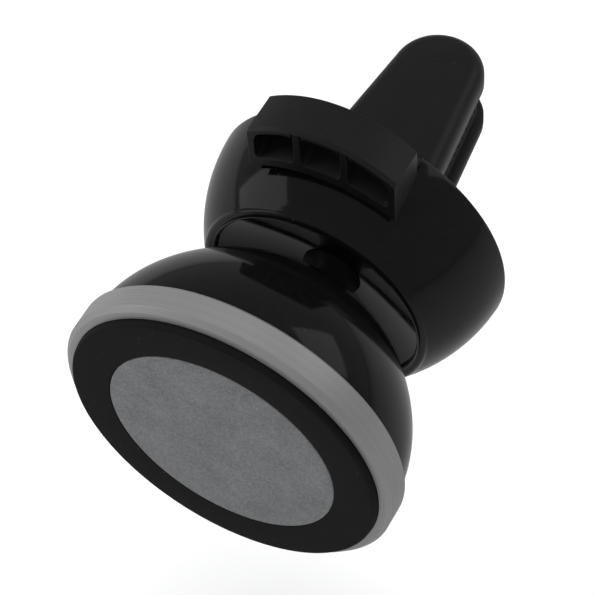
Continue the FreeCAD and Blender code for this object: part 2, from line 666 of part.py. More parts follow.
def tab_section(skin, floor_t, depth):
    """Curved band across the top, drawn in by a skin: flat ends, an arc above, a cone below."""
    half = TAB_HALF - skin
    arc_r = TAB_ARC_R - skin
    top_end = TAB_ARC_Z + math.sqrt(arc_r ** 2 - half ** 2)
    top_left = Vec(-half, TAB_FRONT_Y, top_end)
    top_right = Vec(half, TAB_FRONT_Y, top_end)
    top = Part.Arc(top_left, Vec(0, TAB_FRONT_Y, TAB_ARC_Z + arc_r), top_right).toShape()
    low_right = Vec(half, TAB_FRONT_Y, 0)
    low_left = Vec(-half, TAB_FRONT_Y, 0)
    corners = [top_right, low_right, low_left, top_left]
    sides = [Part.LineSegment(corners[i], corners[i + 1]).toShape() for i in range(3)]
    blank = Part.Face(Part.Wire([top] + sides)).extrude(AXIS_Y * depth)
    under = Part.makeCone(TAB_FLOOR_FRONT_R + floor_t, TAB_FLOOR_BACK_R + floor_t, TAB_BACK_Y - TAB_FRONT_Y,
                          Vec(0, TAB_FRONT_Y, 0), AXIS_Y)
    return blank.cut(under)


def tab_block():
    """Thumb tab: a curved band with three pockets in its front."""
    block = tab_section(0, 0, TAB_BACK_Y - TAB_FRONT_Y)
    inner = tab_section(TAB_SKIN, TAB_FLOOR_T, POCKET_DEPTH)
    clear = 2 * (TAB_HALF - TAB_SKIN)
    pocket = (clear - TAB_RIB * (TAB_POCKETS - 1)) / TAB_POCKETS
    for i in range(TAB_POCKETS - 1):
        left = -clear / 2 + pocket * (i + 1) + TAB_RIB * i
        rib = box((left, TAB_FRONT_Y, 0), (left + TAB_RIB, TAB_FRONT_Y + POCKET_DEPTH, TAB_TOP_Z))
        inner = inner.cut(rib)
    block = block.cut(inner)
    front = [e for e in block.Edges
             if abs(e.CenterOfMass.y - TAB_FRONT_Y) < SAME and e.Length > 2 * (TAB_HALF - TAB_SKIN) + SAME]
    top_edge = max(front, key=lambda e: e.CenterOfMass.z)
    return block.makeChamfer(TAB_CHAMFER, [top_edge])


def lever_arm():
    """Arm between the tab and the jaw, forked round the spring."""
    neck = box((-NECK_HALF, NECK_FRONT_Y, NECK_LOW_Z), (NECK_HALF, TAB_BACK_Y, TAB_FLOOR_BACK_R))
    arm = box((-ARM_HALF, ARM_FRONT_Y, UPPER_LOW_Z), (ARM_HALF, ARM_BACK_Y, NECK_LOW_Z + REACH))
    boss = rod(BOSS_R, (-ARM_HALF, PIVOT_Y, PIVOT_Z), (ARM_HALF, PIVOT_Y, PIVOT_Z))
    root = box((-ARM_HALF, ARM_FRONT_Y, UPPER_LOW_Z), (ARM_HALF, JAW_ROOT_Y + REACH, UPPER_TOP_Z))
    whole = neck.fuse([arm, boss, root])
    room_r = COIL_R + WIRE_R + SPRING_ROOM
    coil_room = box((-COIL_SLOT_HALF, PIVOT_Y - room_r, UPPER_TOP_Z),
                    (COIL_SLOT_HALF, PIVOT_Y + 2 * room_r, PIVOT_Z + room_r))
    leg_room = box((-COIL_SLOT_HALF, PIVOT_Y - 2 * room_r, UPPER_LOW_Z - REACH),
                   (COIL_SLOT_HALF, LEG_ROOM_Y, PIVOT_Z + room_r))
    bore_half = ARM_HALF + REACH
    bore = rod(PIN_R + PIN_GAP, (-bore_half, PIVOT_Y, PIVOT_Z), (bore_half, PIVOT_Y, PIVOT_Z))
    return whole.cut(coil_room).cut(leg_room).cut(bore)


def clip_lever():
    """Thumb tab, arm and upper jaw, in one moulding."""
    blade = jaw(UPPER_LOW_Z, UPPER_TOP_Z, True)
    whole = lever_arm().fuse([tab_block(), blade])
    return whole.removeSplitter()


NODES = {
    "face_pad": face_pad,
    "centre_disc": centre_disc,
    "trim_ring": trim_ring,
    "head_cup": head_cup,
    "magnet_carrier": magnet_carrier,
    "magnets": magnets,
    "yoke_plate": yoke_plate,
    "carrier_screws": carrier_screws,
    "wave_washer": wave_washer,
    "socket_front": socket_front,
    "socket_retainer": socket_retainer,
    "socket_screws": socket_screws,
    "inner_liner": lambda: liner(LINER_IN_R, LINER_OUT_R, LINER_HOLE_ANGLE),
    "outer_liner": lambda: liner(SHELL_IN_R, SHELL_OUT_R, SHELL_HOLE_ANGLE),
    "ball_stud": ball_stud,
    "stud_washer": stud_washer,
    "stud_nut": stud_nut,
    "drum_shell": drum_shell,
    "dish": dish,
    "lower_jaw": lower_jaw,
    "lower_grip": lambda: grip(LOWER_TOP_Z),
    "rear_cover": rear_cover,
    "cover_screws": cover_screws,
    "frame_screws": frame_screws,
    "pivot_pin": pivot_pin,
    "pin_clips": pin_clips,
    "torsion_spring": torsion_spring,
    "clip_lever": clip_lever,
    "upper_grip": lambda: grip(UPPER_LOW_Z - GRIP_T),
}


os.makedirs("parts", exist_ok=True)
to_origin = Vec(0, -GRIP_CENTRE_Y, -GRIP_CENTRE_Z)
for name, make in NODES.items():
    shape = make()
    shape.translate(to_origin)
    shape.exportStep(os.path.join("parts", name + ".step"))
    state = "valid" if shape.isValid() else "INVALID"
    print(name, len(shape.Solids), "solids", round(shape.Volume, 1), "mm3", state)
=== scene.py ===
# %% [markdown]
# # A magnetic phone mount for a car's air vent
# A Blender scene could also model all of it from nothing, but building round the frame means that
# the looks can be rich and the sizes still stay right.

# %% Load the frame
import bmesh
import bpy
import json
import math
import numpy as np
from mathutils import Matrix, Vector


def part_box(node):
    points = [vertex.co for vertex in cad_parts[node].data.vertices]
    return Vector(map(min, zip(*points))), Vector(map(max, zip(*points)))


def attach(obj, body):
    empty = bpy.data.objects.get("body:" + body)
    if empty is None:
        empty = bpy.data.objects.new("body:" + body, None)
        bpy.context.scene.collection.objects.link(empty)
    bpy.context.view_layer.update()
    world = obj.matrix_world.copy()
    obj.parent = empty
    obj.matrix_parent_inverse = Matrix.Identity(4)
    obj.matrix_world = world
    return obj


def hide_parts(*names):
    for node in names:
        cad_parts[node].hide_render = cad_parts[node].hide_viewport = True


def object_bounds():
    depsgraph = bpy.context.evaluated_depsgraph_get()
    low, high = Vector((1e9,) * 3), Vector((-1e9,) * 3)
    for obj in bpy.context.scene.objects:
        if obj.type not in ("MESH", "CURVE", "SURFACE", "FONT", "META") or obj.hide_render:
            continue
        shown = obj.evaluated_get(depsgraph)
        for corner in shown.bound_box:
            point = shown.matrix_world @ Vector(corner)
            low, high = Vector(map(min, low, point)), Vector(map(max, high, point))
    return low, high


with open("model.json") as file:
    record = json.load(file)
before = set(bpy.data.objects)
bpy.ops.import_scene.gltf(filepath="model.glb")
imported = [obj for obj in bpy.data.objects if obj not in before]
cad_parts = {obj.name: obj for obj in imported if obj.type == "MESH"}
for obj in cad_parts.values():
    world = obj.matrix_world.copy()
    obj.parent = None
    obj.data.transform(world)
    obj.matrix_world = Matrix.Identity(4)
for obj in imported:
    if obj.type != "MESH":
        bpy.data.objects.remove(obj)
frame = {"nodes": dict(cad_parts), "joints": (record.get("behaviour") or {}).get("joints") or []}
cad_low, cad_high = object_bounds()
print("frame box", tuple(cad_low), tuple(cad_high))

# %% [markdown]
# ## One way to measure
# Nearly every piece of the mount is turned round one line, the body axis. So this script thinks in
# millimetres: X across, Y backwards from the phone face, Z up from the axis. One function turns
# that into the frame's metres, so no other line has to care.

# %% Millimetres behind the phone face
MM = 0.001
pad_low, pad_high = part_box("face_pad")
FACE_Y = pad_low.y
AXIS_Z = (pad_low.z + pad_high.z) / 2
ORIGIN = np.array([0.0, FACE_Y, AXIS_Z])


def in_mm(place):
    """Millimetres from the middle of the phone face, for a place in the frame."""
    return (np.array(place) - ORIGIN) / MM


def in_frame(point):
    """Place in the frame, for millimetres from the middle of the phone face."""
    return np.array(point) * MM + ORIGIN


def span(node):
    """Lowest and highest corner of a frame piece, in mm from the middle of the phone face."""
    low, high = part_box(node)
    return in_mm(low), in_mm(high)


def outer_radius(node):
    """Radius of a turned piece round the body axis."""
    return span(node)[1][0]


print("pad radius", outer_radius("face_pad"), "mm, ring radius", outer_radius("trim_ring"), "mm")

# %% [markdown]
# ## Surfaces from formulas
# A mesh can be pushed about by hand, or it can be worked out. Here each surface is a grid of points:
# one direction runs round or along the piece, the other runs across it. A shell is such a grid with
# its faces, and a piece is one or more shells.

# %% Grids, shells and pieces
SAME = 1e-4             # mm: points closer than this are one point
NEAR_AXIS = 0.001       # mm: how near its axis or tip a shape is closed
BEVEL_STEPS = 3
BEVEL_FROM = math.radians(35)   # flatter edges than this stay as they are


def grid_faces(rows, columns, wrap_rows=False, wrap_columns=False):
    """Quads between neighbouring points of a grid that is stored row by row."""
    top = np.arange(rows if wrap_rows else rows - 1)[:, None]
    left = np.arange(columns if wrap_columns else columns - 1)[None, :]
    below = (top + 1) % rows
    right = (left + 1) % columns
    corners = [top * columns + left, below * columns + left,
               below * columns + right, top * columns + right]
    return np.stack(np.broadcast_arrays(*corners), axis=-1).reshape(-1, 4)


def shell(points, wrap_rows=False, wrap_columns=False):
    """(points, faces) of a grid given as an array rows x columns x 3."""
    rows, columns = points.shape[:2]
    return points.reshape(-1, 3), grid_faces(rows, columns, wrap_rows, wrap_columns)


def joined(shells):
    """One (points, faces) pair that holds several shells."""
    starts = np.cumsum([0] + [len(points) for points, _ in shells[:-1]])
    points = np.concatenate([points for points, _ in shells])
    faces = [tuple(face + start) for (_, quads), start in zip(shells, starts) for face in quads]
    return points, faces


def closed_mesh(name, shells):
    """Mesh of the shells in the frame's metres: doubles merged, holes filled, normals outward."""
    points, faces = joined(shells)
    mesh = bpy.data.meshes.new(name)
    mesh.from_pydata(in_frame(points).tolist(), [], faces)
    work = bmesh.new()
    work.from_mesh(mesh)
    bmesh.ops.remove_doubles(work, verts=work.verts, dist=SAME * MM)
    bmesh.ops.holes_fill(work, edges=[e for e in work.edges if e.is_boundary], sides=0)
    bmesh.ops.recalc_face_normals(work, faces=work.faces)
    work.to_mesh(mesh)
    work.free()
    return mesh


def piece(name, mesh, body, finish, slot, nodes=(), soften=0.0):
    """Object of a mesh that rides on a body. soften rounds its edges with a Bevel modifier, in mm."""
    made = bpy.data.objects.new(name, mesh)
    bpy.context.scene.collection.objects.link(made)
    mesh.shade_smooth()
    mesh.materials.append(finish)
    if soften:
        bevel = made.modifiers.new("soft edges", "BEVEL")
        bevel.width = soften * MM
        bevel.segments = BEVEL_STEPS
        bevel.limit_method = "ANGLE"
        bevel.angle_limit = BEVEL_FROM
        bevel.use_clamp_overlap = False
        bevel.harden_normals = True
    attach(made, body)
    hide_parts(*nodes)
    print(name, len(mesh.vertices), "points,", len(mesh.polygons), "faces, rides on", body)
    return made


def solid(name, shells, *rest, **soft):
    """Piece made of shells. What follows them is what follows the mesh in piece."""
    return piece(name, closed_mesh(name, shells), *rest, **soft)


print("an open grid of 3 x 4 points has", len(grid_faces(3, 4)), "faces")

# %% [markdown]
# ## Turning
# A lathe needs only half a section. Its sharp corners would catch no light, and a real moulding or
# machined ring has none, so a section is given as corners with a radius each, and every corner
# becomes an arc. Curved stretches, such as an arc through three points, are formulas too.

# %% Sections and the lathe
TURN_STEPS = 240


def rounded(corners, steps=6):
    """Closed outline: each (radius, depth, fillet) corner becomes an arc between its two sides.

    The arc's ends lie fillet / tan(half the corner) away, and its points swing evenly from one end
    to the other round the centre."""
    corners = np.array(corners, float)
    here, fillet = corners[:, :2], corners[:, 2:]
    back = np.roll(here, 1, axis=0) - here
    ahead = np.roll(here, -1, axis=0) - here
    back /= np.linalg.norm(back, axis=1, keepdims=True)
    ahead /= np.linalg.norm(ahead, axis=1, keepdims=True)
    half = np.arccos((back * ahead).sum(axis=1, keepdims=True)) / 2
    middle = (back + ahead) / np.linalg.norm(back + ahead, axis=1, keepdims=True)
    centre = here + middle * fillet / np.sin(half)
    start = here + back * fillet / np.tan(half) - centre
    end = here + ahead * fillet / np.tan(half) - centre
    sweep = (math.pi - 2 * half)[:, None]
    share = np.linspace(0, 1, steps)[None, :, None]
    swing = np.sin((1 - share) * sweep) * start[:, None] + np.sin(share * sweep) * end[:, None]
    return (centre[:, None] + swing / np.sin(sweep)).reshape(-1, 2)


def arc_through(first, middle, last, count):
    """Points on the circle through three points, from the first to the last."""
    (ax, ay), (bx, by), (cx, cy) = first, middle, last
    double = 2 * (ax * (by - cy) + bx * (cy - ay) + cx * (ay - by))
    squares = [x * x + y * y for x, y in (first, middle, last)]
    x = (squares[0] * (by - cy) + squares[1] * (cy - ay) + squares[2] * (ay - by)) / double
    y = (squares[0] * (cx - bx) + squares[1] * (ax - cx) + squares[2] * (bx - ax)) / double
    angles = np.unwrap([math.atan2(q - y, p - x) for p, q in (first, middle, last)])
    swing = np.linspace(angles[0], angles[2], count)
    radius = math.hypot(ax - x, ay - y)
    return np.stack([x + radius * np.cos(swing), y + radius * np.sin(swing)], axis=1)


def turned(section, wrap=True):
    """Shell of a (radius, depth) section swung round the axis: x = r sin a, y = depth, z = r cos a."""
    angle = np.arange(TURN_STEPS) * 2 * math.pi / TURN_STEPS
    radius, depth = section[:, :1], section[:, 1:]
    x = radius * np.sin(angle)
    z = radius * np.cos(angle)
    return shell(np.stack([x, np.broadcast_to(depth, x.shape), z], axis=-1), wrap, True)


square = rounded([(1, 0, .1), (2, 0, .1), (2, 1, .1), (1, 1, .1)])
print("a square with rounded corners has", len(square), "points")

# %% [markdown]
# ## Finishes
# A finish is never one flat colour: moulded plastic has a faint grain, rubber is powdery, turned
# metal has lines. An effect that several finishes share is a node group, made once, with its own
# inputs, and each finish gives it other values. The groups only put out values; the shader, and
# every number that is the same all over, stay in the material.

# %% Helpers for nodes
def add(tree, kind, values=None, **settings):
    """Adds a node. settings are its properties; values go to its inputs, or link an output to them."""
    made = tree.nodes.new(kind)
    for name, setting in settings.items():
        setattr(made, name, setting)
    for name, value in (values or {}).items():
        if isinstance(value, bpy.types.NodeSocket):
            tree.links.new(value, made.inputs[name])
        else:
            made.inputs[name].default_value = value
    return made


def new_group(name, inputs, outputs):
    """Empty node group with named inputs, given with their values, and named outputs."""
    tree = bpy.data.node_groups.new(name, "ShaderNodeTree")
    for label, value in inputs.items():
        kind = "NodeSocketVector" if value is None else "NodeSocketFloat"
        made = tree.interface.new_socket(label, in_out="INPUT", socket_type=kind)
        if value is not None:
            made.default_value = value
    for label in outputs:
        tree.interface.new_socket(label, in_out="OUTPUT", socket_type="NodeSocketFloat")
    return tree, tree.nodes.new("NodeGroupInput").outputs, tree.nodes.new("NodeGroupOutput").inputs


def mixed(tree, share, first, second):
    """Number between two, by a share."""
    made = add(tree, "ShaderNodeMix", {"Factor": share}, data_type="FLOAT")
    for socket, value in ((made.inputs["A"], first), (made.inputs["B"], second)):
        if isinstance(value, bpy.types.NodeSocket):
            tree.links.new(value, socket)
        else:
            socket.default_value = value
    return made.outputs["Result"]


def maths(tree, operation, *values):
    """Output of a Math node whose inputs are numbers or other outputs."""
    return add(tree, "ShaderNodeMath", dict(enumerate(values)), operation=operation).outputs[0]


def noise(tree, vector, scale, detail=2.0):
    """Output of a noise over a vector."""
    values = {"Vector": vector, "Scale": scale, "Detail": detail}
    return add(tree, "ShaderNodeTexNoise", values).outputs["Fac"]


def spread(tree, value, low, high):
    """Output of a Map Range node: 0 at low, 1 at high, even between them and flat outside."""
    values = {"Value": value, "From Min": low, "From Max": high}
    return add(tree, "ShaderNodeMapRange", values).outputs["Result"]


# %% Group: grain
CLOUD_SCALE = 0.06      # how often the cloud repeats, as a share of the grain
CLOUD_DETAIL = 4.0
TONE_LOW, TONE_HIGH = 0.3, 0.7      # noise keeps near its middle, so this part of it is spread out


def make_grain():
    """Two sizes of noise: a broad cloud and a fine grain. Size is the fine grain's, in metres."""
    inputs = {"Vector": None, "Size": 0.0003, "Cloud": 0.35}
    tree, given, result = new_group("grain", inputs, ["Tone", "Height"])
    fine_scale = maths(tree, "DIVIDE", 1.0, given["Size"])
    broad_scale = maths(tree, "MULTIPLY", fine_scale, CLOUD_SCALE)
    fine = noise(tree, given["Vector"], fine_scale)
    broad = noise(tree, given["Vector"], broad_scale, CLOUD_DETAIL)
    tone = mixed(tree, given["Cloud"], fine, broad)
    tree.links.new(spread(tree, tone, TONE_LOW, TONE_HIGH), result["Tone"])
    tree.links.new(fine, result["Height"])
    return tree


GRAIN = make_grain()
print("grain group:", len(GRAIN.nodes), "nodes")

# %% Group: turned lines
RADIUS_SHARE = 0.7      # with the depth alone, a flat face across the axis would have no lines
UNEVEN_SHARE = 0.4
UNEVEN_SCALE = 0.7      # changes of the unevenness per line


def make_turned_lines():
    """Lines left by a lathe: a sine of the depth plus most of the radius, made uneven by noise."""
    tree, given, result = new_group("turned lines", {"Vector": None, "Pitch": 0.0002}, ["Tone", "Height"])
    parts = add(tree, "ShaderNodeSeparateXYZ", {"Vector": given["Vector"]}).outputs
    z = maths(tree, "ADD", parts["Z"], -AXIS_Z)
    flat = add(tree, "ShaderNodeCombineXYZ", {"X": parts["X"], "Y": z}).outputs[0]
    radius = add(tree, "ShaderNodeVectorMath", {0: flat}, operation="LENGTH").outputs["Value"]
    along = maths(tree, "MULTIPLY_ADD", radius, RADIUS_SHARE, parts["Y"])
    turns = maths(tree, "DIVIDE", along, given["Pitch"])
    wave = maths(tree, "SINE", maths(tree, "MULTIPLY", turns, 2 * math.pi))
    uneven = add(tree, "ShaderNodeTexNoise", {"W": turns, "Scale": UNEVEN_SCALE, "Detail": 1.0},
                 noise_dimensions="1D")
    lines = mixed(tree, UNEVEN_SHARE, spread(tree, wave, -1.0, 1.0), uneven.outputs["Fac"])
    tree.links.new(lines, result["Tone"])
    tree.links.new(lines, result["Height"])
    return tree


TURNED_LINES = make_turned_lines()
print("turned lines group:", len(TURNED_LINES.nodes), "nodes")

# %% Group: handling
RUB_TURN = (0.5, 0.3, 0.8)
RUB_STRETCH = (250.0, 6000.0, 900.0)    # marks per metre, few along a mark and many across it
PATCH_SCALE = 90.0                      # rubbed patches per metre
DUST_CELLS = 700.0                      # places for a speck, per metre
DUST_LEFT_OUT = 0.8                     # a place is dusty if its random number is above this
SPECK_EDGE, SPECK_CORE = 0.10, 0.06     # where a speck begins and where it is full


def make_handling():
    """Fine rubbing marks, as noise stretched along one way, and sparse specks of dust."""
    tree, given, result = new_group("handling", {"Vector": None, "Amount": 0.5}, ["Rub", "Dust"])
    turn = add(tree, "ShaderNodeMapping", {"Vector": given["Vector"], "Rotation": RUB_TURN,
                                           "Scale": RUB_STRETCH})
    thin = spread(tree, noise(tree, turn.outputs[0], 1.0), 0.58, 0.75)
    patch = spread(tree, noise(tree, given["Vector"], PATCH_SCALE), 0.45, 0.7)
    rub = maths(tree, "MULTIPLY", thin, patch)
    cell = add(tree, "ShaderNodeTexVoronoi", {"Vector": given["Vector"], "Scale": DUST_CELLS})
    speck = spread(tree, cell.outputs["Distance"], SPECK_EDGE, SPECK_CORE)
    chosen = maths(tree, "GREATER_THAN", cell.outputs["Color"], DUST_LEFT_OUT)
    dust = maths(tree, "MULTIPLY", speck, chosen)
    tree.links.new(maths(tree, "MULTIPLY", rub, given["Amount"]), result["Rub"])
    tree.links.new(maths(tree, "MULTIPLY", dust, given["Amount"]), result["Dust"])
    return tree


HANDLING = make_handling()
print("handling group:", len(HANDLING.nodes), "nodes")

# %% [markdown]
# Every finish has the same skeleton: a pattern gives a tone, which moves the colour and the
# roughness between two values, and a height for the bump. So one function builds it, and each
# finish is a short list of its own colours, roughness and grain.

# %% One recipe for all finishes
DUST_COLOUR = (0.32, 0.31, 0.29, 1.0)
RUB_ROUGHER = 0.35      # how much rougher a rubbing mark is


def grey(level, warm=0.0):
    """Neutral colour, or slightly warm or cold."""
    return (level * (1 + warm), level, level * (1 - warm), 1.0)


def finish(name, dark, light, smooth, rough, size, bump, pattern=GRAIN, marks=0.2, **sockets):
    """Material whose colour and roughness follow a pattern group, with rubbing marks and dust on top."""
    made = bpy.data.materials.new(name)
    made.use_nodes = True
    tree = made.node_tree
    shader = tree.nodes["Principled BSDF"]
    for label, value in sockets.items():
        shader.inputs[label.replace("_", " ")].default_value = value
    place = add(tree, "ShaderNodeTexCoord").outputs["Object"]
    grain = add(tree, "ShaderNodeGroup", node_tree=pattern)
    tree.links.new(place, grain.inputs["Vector"])
    grain.inputs[1].default_value = size
    worn = add(tree, "ShaderNodeGroup", node_tree=HANDLING)
    tree.links.new(place, worn.inputs["Vector"])
    worn.inputs["Amount"].default_value = marks
    base = add(tree, "ShaderNodeMix", {"Factor": grain.outputs["Tone"]}, data_type="RGBA")
    base.inputs["A"].default_value = dark
    base.inputs["B"].default_value = light
    dusty = add(tree, "ShaderNodeMix", {"Factor": worn.outputs["Dust"]}, data_type="RGBA")
    tree.links.new(base.outputs["Result"], dusty.inputs["A"])
    dusty.inputs["B"].default_value = DUST_COLOUR
    tree.links.new(dusty.outputs["Result"], shader.inputs["Base Color"])
    even = mixed(tree, grain.outputs["Tone"], smooth, rough)
    rubbed = mixed(tree, worn.outputs["Rub"], even, min(rough + RUB_ROUGHER, 1.0))
    tree.links.new(rubbed, shader.inputs["Roughness"])
    relief = add(tree, "ShaderNodeBump", {"Height": grain.outputs["Height"], "Strength": 1.0,
                                          "Distance": bump})
    tree.links.new(relief.outputs["Normal"], shader.inputs["Normal"])
    print("finish", name, "with pattern", pattern.name)
    return made


print("a slightly warm grey is", grey(0.5, 0.02))

# %% The finishes
gloss_black = finish("gloss black plastic", grey(0.003), grey(0.005), smooth=0.07, rough=0.11,
                     size=0.0012, bump=1e-7, marks=0.08, Specular_IOR_Level=0.3)
satin_black = finish("satin black plastic", grey(0.005), grey(0.008), smooth=0.34, rough=0.44,
                     size=0.00016, bump=6e-6, marks=0.06, Specular_IOR_Level=0.35)
pad_rubber = finish("matte pad rubber", grey(0.004), grey(0.008), smooth=0.62, rough=0.75,
                    size=0.00018, bump=8e-6, marks=0.1, Specular_IOR_Level=0.15)
disc_grey = finish("grey face insert", grey(0.10, -0.02), grey(0.215, -0.02), smooth=0.5, rough=0.62,
                   size=0.0003, bump=8e-6, marks=0.1, Specular_IOR_Level=0.2)
ring_aluminium = finish("turned aluminium", grey(0.29, 0.01), grey(0.42, 0.01), smooth=0.34, rough=0.42,
                        pattern=TURNED_LINES, size=0.00025, bump=4e-6, marks=0.1, Metallic=0.6)
grip_rubber = finish("ribbed grip rubber", grey(0.007), grey(0.012), smooth=0.55, rough=0.7,
                     size=0.0002, bump=1e-5, marks=0.3, Specular_IOR_Level=0.25)
inner_plastic = finish("inner moulded plastic", grey(0.02), grey(0.03), smooth=0.45, rough=0.55,
                       size=0.0002, bump=6e-6)
nylon = finish("natural nylon", (0.60, 0.57, 0.50, 1), (0.68, 0.65, 0.58, 1), smooth=0.35, rough=0.5,
               size=0.0003, bump=4e-6)
nickel = finish("nickel plate", (0.60, 0.57, 0.52, 1), (0.68, 0.65, 0.60, 1), smooth=0.14, rough=0.24,
                size=0.0004, bump=1e-6, Metallic=1.0)
steel = finish("zinc plated steel", grey(0.50, -0.02), grey(0.62, -0.02), smooth=0.25, rough=0.38,
               size=0.0003, bump=2e-6, Metallic=1.0)
spring_steel = finish("spring steel", grey(0.34), grey(0.45), smooth=0.22, rough=0.36,
                      size=0.0002, bump=2e-6, Metallic=1.0)
stud_black = finish("black stud", grey(0.003), grey(0.005), smooth=0.3, rough=0.4,
                    pattern=TURNED_LINES, size=0.0001, bump=2e-6, marks=0.1, Specular_IOR_Level=0.15)
black_steel = finish("blackened steel", grey(0.010), grey(0.018), smooth=0.34, rough=0.46,
                     pattern=TURNED_LINES, size=0.0001, bump=2e-6, Metallic=0.3)

# %% [markdown]
# ## The phone pad and its insert
# The face is a flat ring of soft rubber round a grey insert. Both are thin turned pieces. What shows
# that they are two pieces is the fine groove between them, so both get small rounded edges.

# %% Phone pad and insert
PAD_R, PAD_BACK_Y = span("face_pad")[1][:2]
DISC_R = outer_radius("centre_disc")
GROOVE = 0.05           # room round the insert, and round the pad
PAD_HOLE_R = DISC_R + GROOVE
PAD_ROUND = 0.45
PAD_HOLE_ROUND = 0.18
DISC_ROUND = 0.14
HIDDEN_ROUND = 0.05
CENTRE_R = 0.02         # the insert's section begins this close to the axis
CENTRE_ROUND = 0.005

pad_section = rounded([(PAD_HOLE_R, 0, PAD_HOLE_ROUND), (PAD_R, 0, PAD_ROUND),
                       (PAD_R, PAD_BACK_Y, HIDDEN_ROUND), (PAD_HOLE_R, PAD_BACK_Y, HIDDEN_ROUND)])
solid("phone_pad", [turned(pad_section)], "head", pad_rubber, "pad_rubber", ["face_pad"])
disc_section = rounded([(CENTRE_R, 0, CENTRE_ROUND), (DISC_R, 0, DISC_ROUND),
                        (DISC_R, PAD_BACK_Y, HIDDEN_ROUND), (CENTRE_R, PAD_BACK_Y, CENTRE_ROUND)])
solid("face_insert", [turned(disc_section)], "head", disc_grey, "disc_grey", ["centre_disc"])

# %% [markdown]
# ## The aluminium ring
# The ring is cut on a lathe: a lip in front, a wide chamfer that shows as a darker line, a straight
# band with fine turned lines, and a bright narrow chamfer behind.

# %% Aluminium ring
ring_low, ring_high = span("trim_ring")
RING_R = ring_high[0]
RING_LIP = 0.15
RING_CHAMFER = 0.6
RING_BACK_CHAMFER = 0.3
RING_ROUND = 0.04       # what a machined corner is broken by
LIP_ROUND = 0.06
BAND_ROUND = 0.08
BAND_BACK_ROUND = 0.05
ring_hole_r = PAD_R + GROOVE
ring_section = rounded([
    (ring_hole_r, ring_low[1], RING_ROUND),
    (RING_R - RING_CHAMFER, ring_low[1] + RING_LIP, LIP_ROUND),
    (RING_R, ring_low[1] + RING_LIP + RING_CHAMFER, BAND_ROUND),
    (RING_R, ring_high[1] - RING_BACK_CHAMFER, BAND_BACK_ROUND),
    (RING_R - RING_BACK_CHAMFER, ring_high[1], RING_ROUND),
    (ring_hole_r, ring_high[1], RING_ROUND),
])
solid("turned_ring", [turned(ring_section)], "head", ring_aluminium, "ring_aluminium", ["trim_ring"])

# %% [markdown]
# ## The head's dome
# Behind the ring the head closes towards the ball joint in a full, round curve. A circle is too thin
# there and a box too fat. A superellipse lies between: (r / radius) ^ p + (depth) ^ p = 1, and p says
# how full it is.

# %% Head dome
cup_low, cup_high = span("head_cup")
CUP_R = cup_high[0]
CUP_START_Y = ring_high[1]
CUP_DEPTH = 18.9
CUP_POWER = 1.84
CUP_WALL = 1.6
MOUTH_R = 6.8
MOUTH_ROOM = 4.0        # how much wider the cup's inside ends
MOUTH_LIP = 0.45        # how far the mouth's edge turns in, with its rounding
MOUTH_ROUND = 0.2
MOUTH_END = (MOUTH_R - 0.7, 19.6)


def dome_curve(radius, depth, last_radius, count=64):
    """Superellipse from the full radius in to the last one; its points crowd towards the full radius."""
    share = np.linspace(0, 1, count) ** 2
    r = radius + (last_radius - radius) * share
    y = CUP_START_Y + depth * np.clip(1 - (r / radius) ** CUP_POWER, 0, 1) ** (1 / CUP_POWER)
    return np.stack([r, y], axis=1)


outer_curve = dome_curve(CUP_R, CUP_DEPTH, MOUTH_R)
inner_curve = dome_curve(CUP_R - CUP_WALL, CUP_DEPTH - CUP_WALL, MOUTH_R + MOUTH_ROOM)[::-1]
mouth_y = outer_curve[-1, 1]
mouth = np.array([(MOUTH_R - MOUTH_LIP + MOUTH_ROUND, mouth_y), (MOUTH_R - MOUTH_LIP, mouth_y - MOUTH_ROUND),
                  MOUTH_END])
skirt = np.array([(CUP_R - CUP_WALL, cup_low[1]), (PAD_R, cup_low[1]), (PAD_R, CUP_START_Y)])
dome_section = np.concatenate([outer_curve, mouth, inner_curve, skirt])
solid("head_dome", [turned(dome_section)], "head", gloss_black, "gloss_black", ["head_cup"])

# %% [markdown]
# ## The dish and the stud
# The body's front is a polished dish round the stud, which gets a little steeper towards its rim.
# A spline could be drawn by eye, but a power of the radius gives the same curve with two numbers:
# depth = floor - rise x (r / edge radius) ^ p.

# %% Dish and stud
dish_low, dish_high = span("dish")
DISH_R = dish_high[0]
DISH_EDGE_Y = dish_low[1]
DISH_BACK_Y = dish_high[1]
DISH_BOSS_T = 1.5
DISH_FLOOR_Y = DISH_BACK_Y - DISH_BOSS_T
DISH_POWER = 1.8
DISH_EDGE_T = 2.4
DISH_EDGE_WIDTH = 2.5
DISH_RELIEF = 0.2       # the wall round the boss is thinner by this
STUD_FLANGE_R = 3.8
FLANGE_T = 0.6
FLANGE_CONE = 0.7
SHANK_R = 2.0
SHANK_CHAMFER = 0.3


def dish_curve(first_r, last_r, floor_y, count):
    """Depth of the dish as a power of the radius, from one radius to another."""
    r = np.linspace(first_r, last_r, count)
    return np.stack([r, floor_y - (DISH_FLOOR_Y - DISH_EDGE_Y) * (r / DISH_R) ** DISH_POWER], axis=1)


dish_front = dish_curve(DISH_R, STUD_FLANGE_R, DISH_FLOOR_Y, 90)
dish_back = dish_curve(STUD_FLANGE_R, DISH_R - DISH_EDGE_WIDTH, DISH_BACK_Y - DISH_RELIEF, 40)
dish_section = np.concatenate([[(SHANK_R, DISH_FLOOR_Y)], dish_front[::-1],
                               [(DISH_R, DISH_EDGE_Y + DISH_EDGE_T)], dish_back[::-1],
                               [(SHANK_R, DISH_BACK_Y)]])
solid("body_dish", [turned(dish_section)], "body", gloss_black, "gloss_black", ["dish"])

